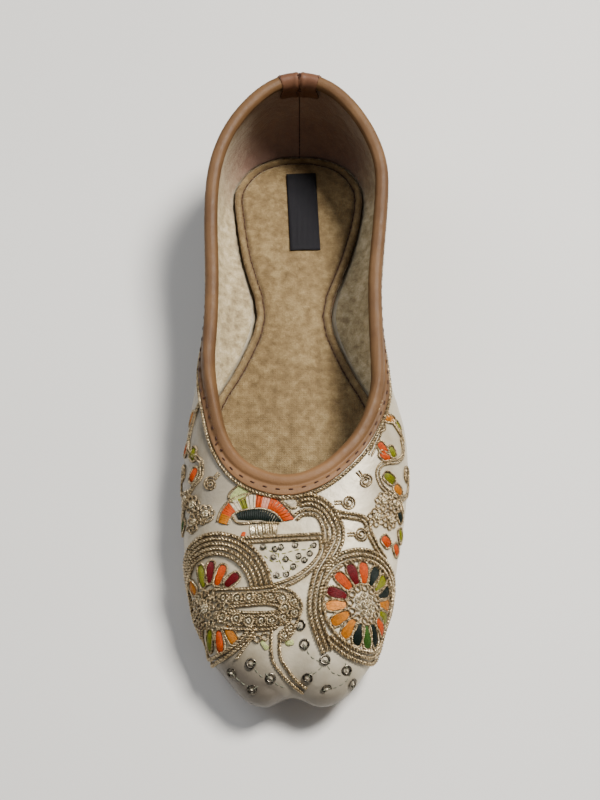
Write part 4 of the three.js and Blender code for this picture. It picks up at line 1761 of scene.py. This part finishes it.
# %% Tab and lining stitches
TAB_STITCH_INSET = 1.6
SEAM_FOOT = 9
tab_surface = surface_of(tab)


def down_the_tab(x):
    """A line over the tab from its outer leg to its inner one."""
    start = Vector((x, tab_high.y + 2 * MM, tab_low.z + 1 * MM))
    top = Vector((x, (tab_low.y + tab_high.y) / 2, tab_high.z + 4 * MM))
    end = Vector((x, tab_low.y - 2 * MM, tab_low.z + 1 * MM))
    line = evenly([start, top, end], STITCH_STEP * MM)
    return even_run(dropped(line, tab_surface), STITCH_STEP)


for x in (tab_low.x + TAB_STITCH_INSET * MM, tab_high.x - TAB_STITCH_INSET * MM):
    stitch_row(knots, down_the_tab(x), pitch=2.6, length=1.5, radius=0.2, finish=BROWN)
seam_run = down_the_tab(BACK_SEAM * MM)
stitch_row(knots, seam_run, pitch=1.5, length=1.2, radius=0.2, finish=BROWN, rise=0.1)

lining_surface = surface_of(lining)
seam_line = []
for k in range(132):
    place = Vector((BACK_SEAM, 100, SEAM_FOOT + 0.36 * k)) * MM
    touch, normal = lining_surface.ray_cast(place, Vector((0, 1, 0)))[:2]
    if touch is not None:
        seam_line.append([touch, normal])
seam_run = even_run(seam_line, STITCH_STEP)
stitch_row(knots, seam_run, pitch=1.8, length=1.4, radius=0.26, finish=BROWN, rise=0.1)
print("back seam:", len(seam_line), "points on the lining")

# %% [markdown]
# The sock's band has its own small stitches, laid in the groove. They follow the sock's edge, moved inwards
# by the band's width, and stop where the outline is too narrow for that.

# %% Sock stitches
def inset(edge, distance, span):
    """The points of a closed line, each moved towards the shoe's middle at a right angle to the line."""
    for k, point in enumerate(edge):
        onward = (edge[(k + span) % len(edge)] - edge[k - span]).normalized()
        aside = Vector((-onward.y, onward.x, 0)) * distance * MM
        yield min((point + aside, point - aside), key=lambda p: (p - Vector((0, p.y * 0.8, p.z))).length)


sock_runs = [[]]
for inner in inset(sock_edge, BAND_WIDTH, 4):
    touch, normal = sock_surface.ray_cast(Vector((inner.x, inner.y, 0.06)), DOWN)[:2]
    if touch is None or from_sock_edge(inner) < BAND_WIDTH - 0.4:
        sock_runs.append([])
    else:
        sock_runs[-1].append([touch, normal])
sock_runs = [run for run in sock_runs if len(run) > 20]
for run in sock_runs:
    run = even_run(run, STITCH_STEP)
    stitch_row(knots, run, pitch=3.3, length=2.7, radius=0.27, finish=BROWN, rise=0.12)
print(len(sock_runs), "runs of stitches on the sock")

# %% [markdown]
# A stouter row holds the sole to the upper, in front of the heel. It is sunk in the sole, so that the shoe
# stands on leather and not on thread.

# %% Sole stitches
SOLE_STITCH_INSET = 5
SOLE_THREAD = 0.4
CREAM = SILK_NAMES.index("cream")
UP = Vector((0, 0, 1))

outsole_surface = surface_of(outsole)
low_edge = min(sole_edges[:2], key=lambda line: sum(p.z for p in line) / len(line))
low_edge = evenly(low_edge, LINE_STEP * MM)
low_tree = tree_of(low_edge)
sole_run = []
for inner in inset(low_edge, SOLE_STITCH_INSET, 6):
    touch, normal = outsole_surface.ray_cast(Vector((inner.x, inner.y, -0.01)), UP)[:2]
    if touch is not None and low_tree.find(touch)[2] > (SOLE_STITCH_INSET - 0.6) * MM:
        sole_run.append([touch, normal])
heel_front = lift_low.y - 2 * MM
for part in kept_runs(sole_run, lambda p: p.y < heel_front):
    run = even_run(part, STITCH_STEP)
    depth = SOLE_THREAD - 0.03
    stitch_row(knots, run, pitch=6, length=4.2, radius=SOLE_THREAD, finish=CREAM, rise=0, sink=depth)
hand_over(knots.made("fine_stitches"), list(SILKS.values()))

# %% [markdown]
# ## The size
# The box of all that shows is measured and printed.

# %% Measure
visual_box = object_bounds()
print("visual:", [round((high - low) / MM, 1) for low, high in zip(*visual_box)], "mm")
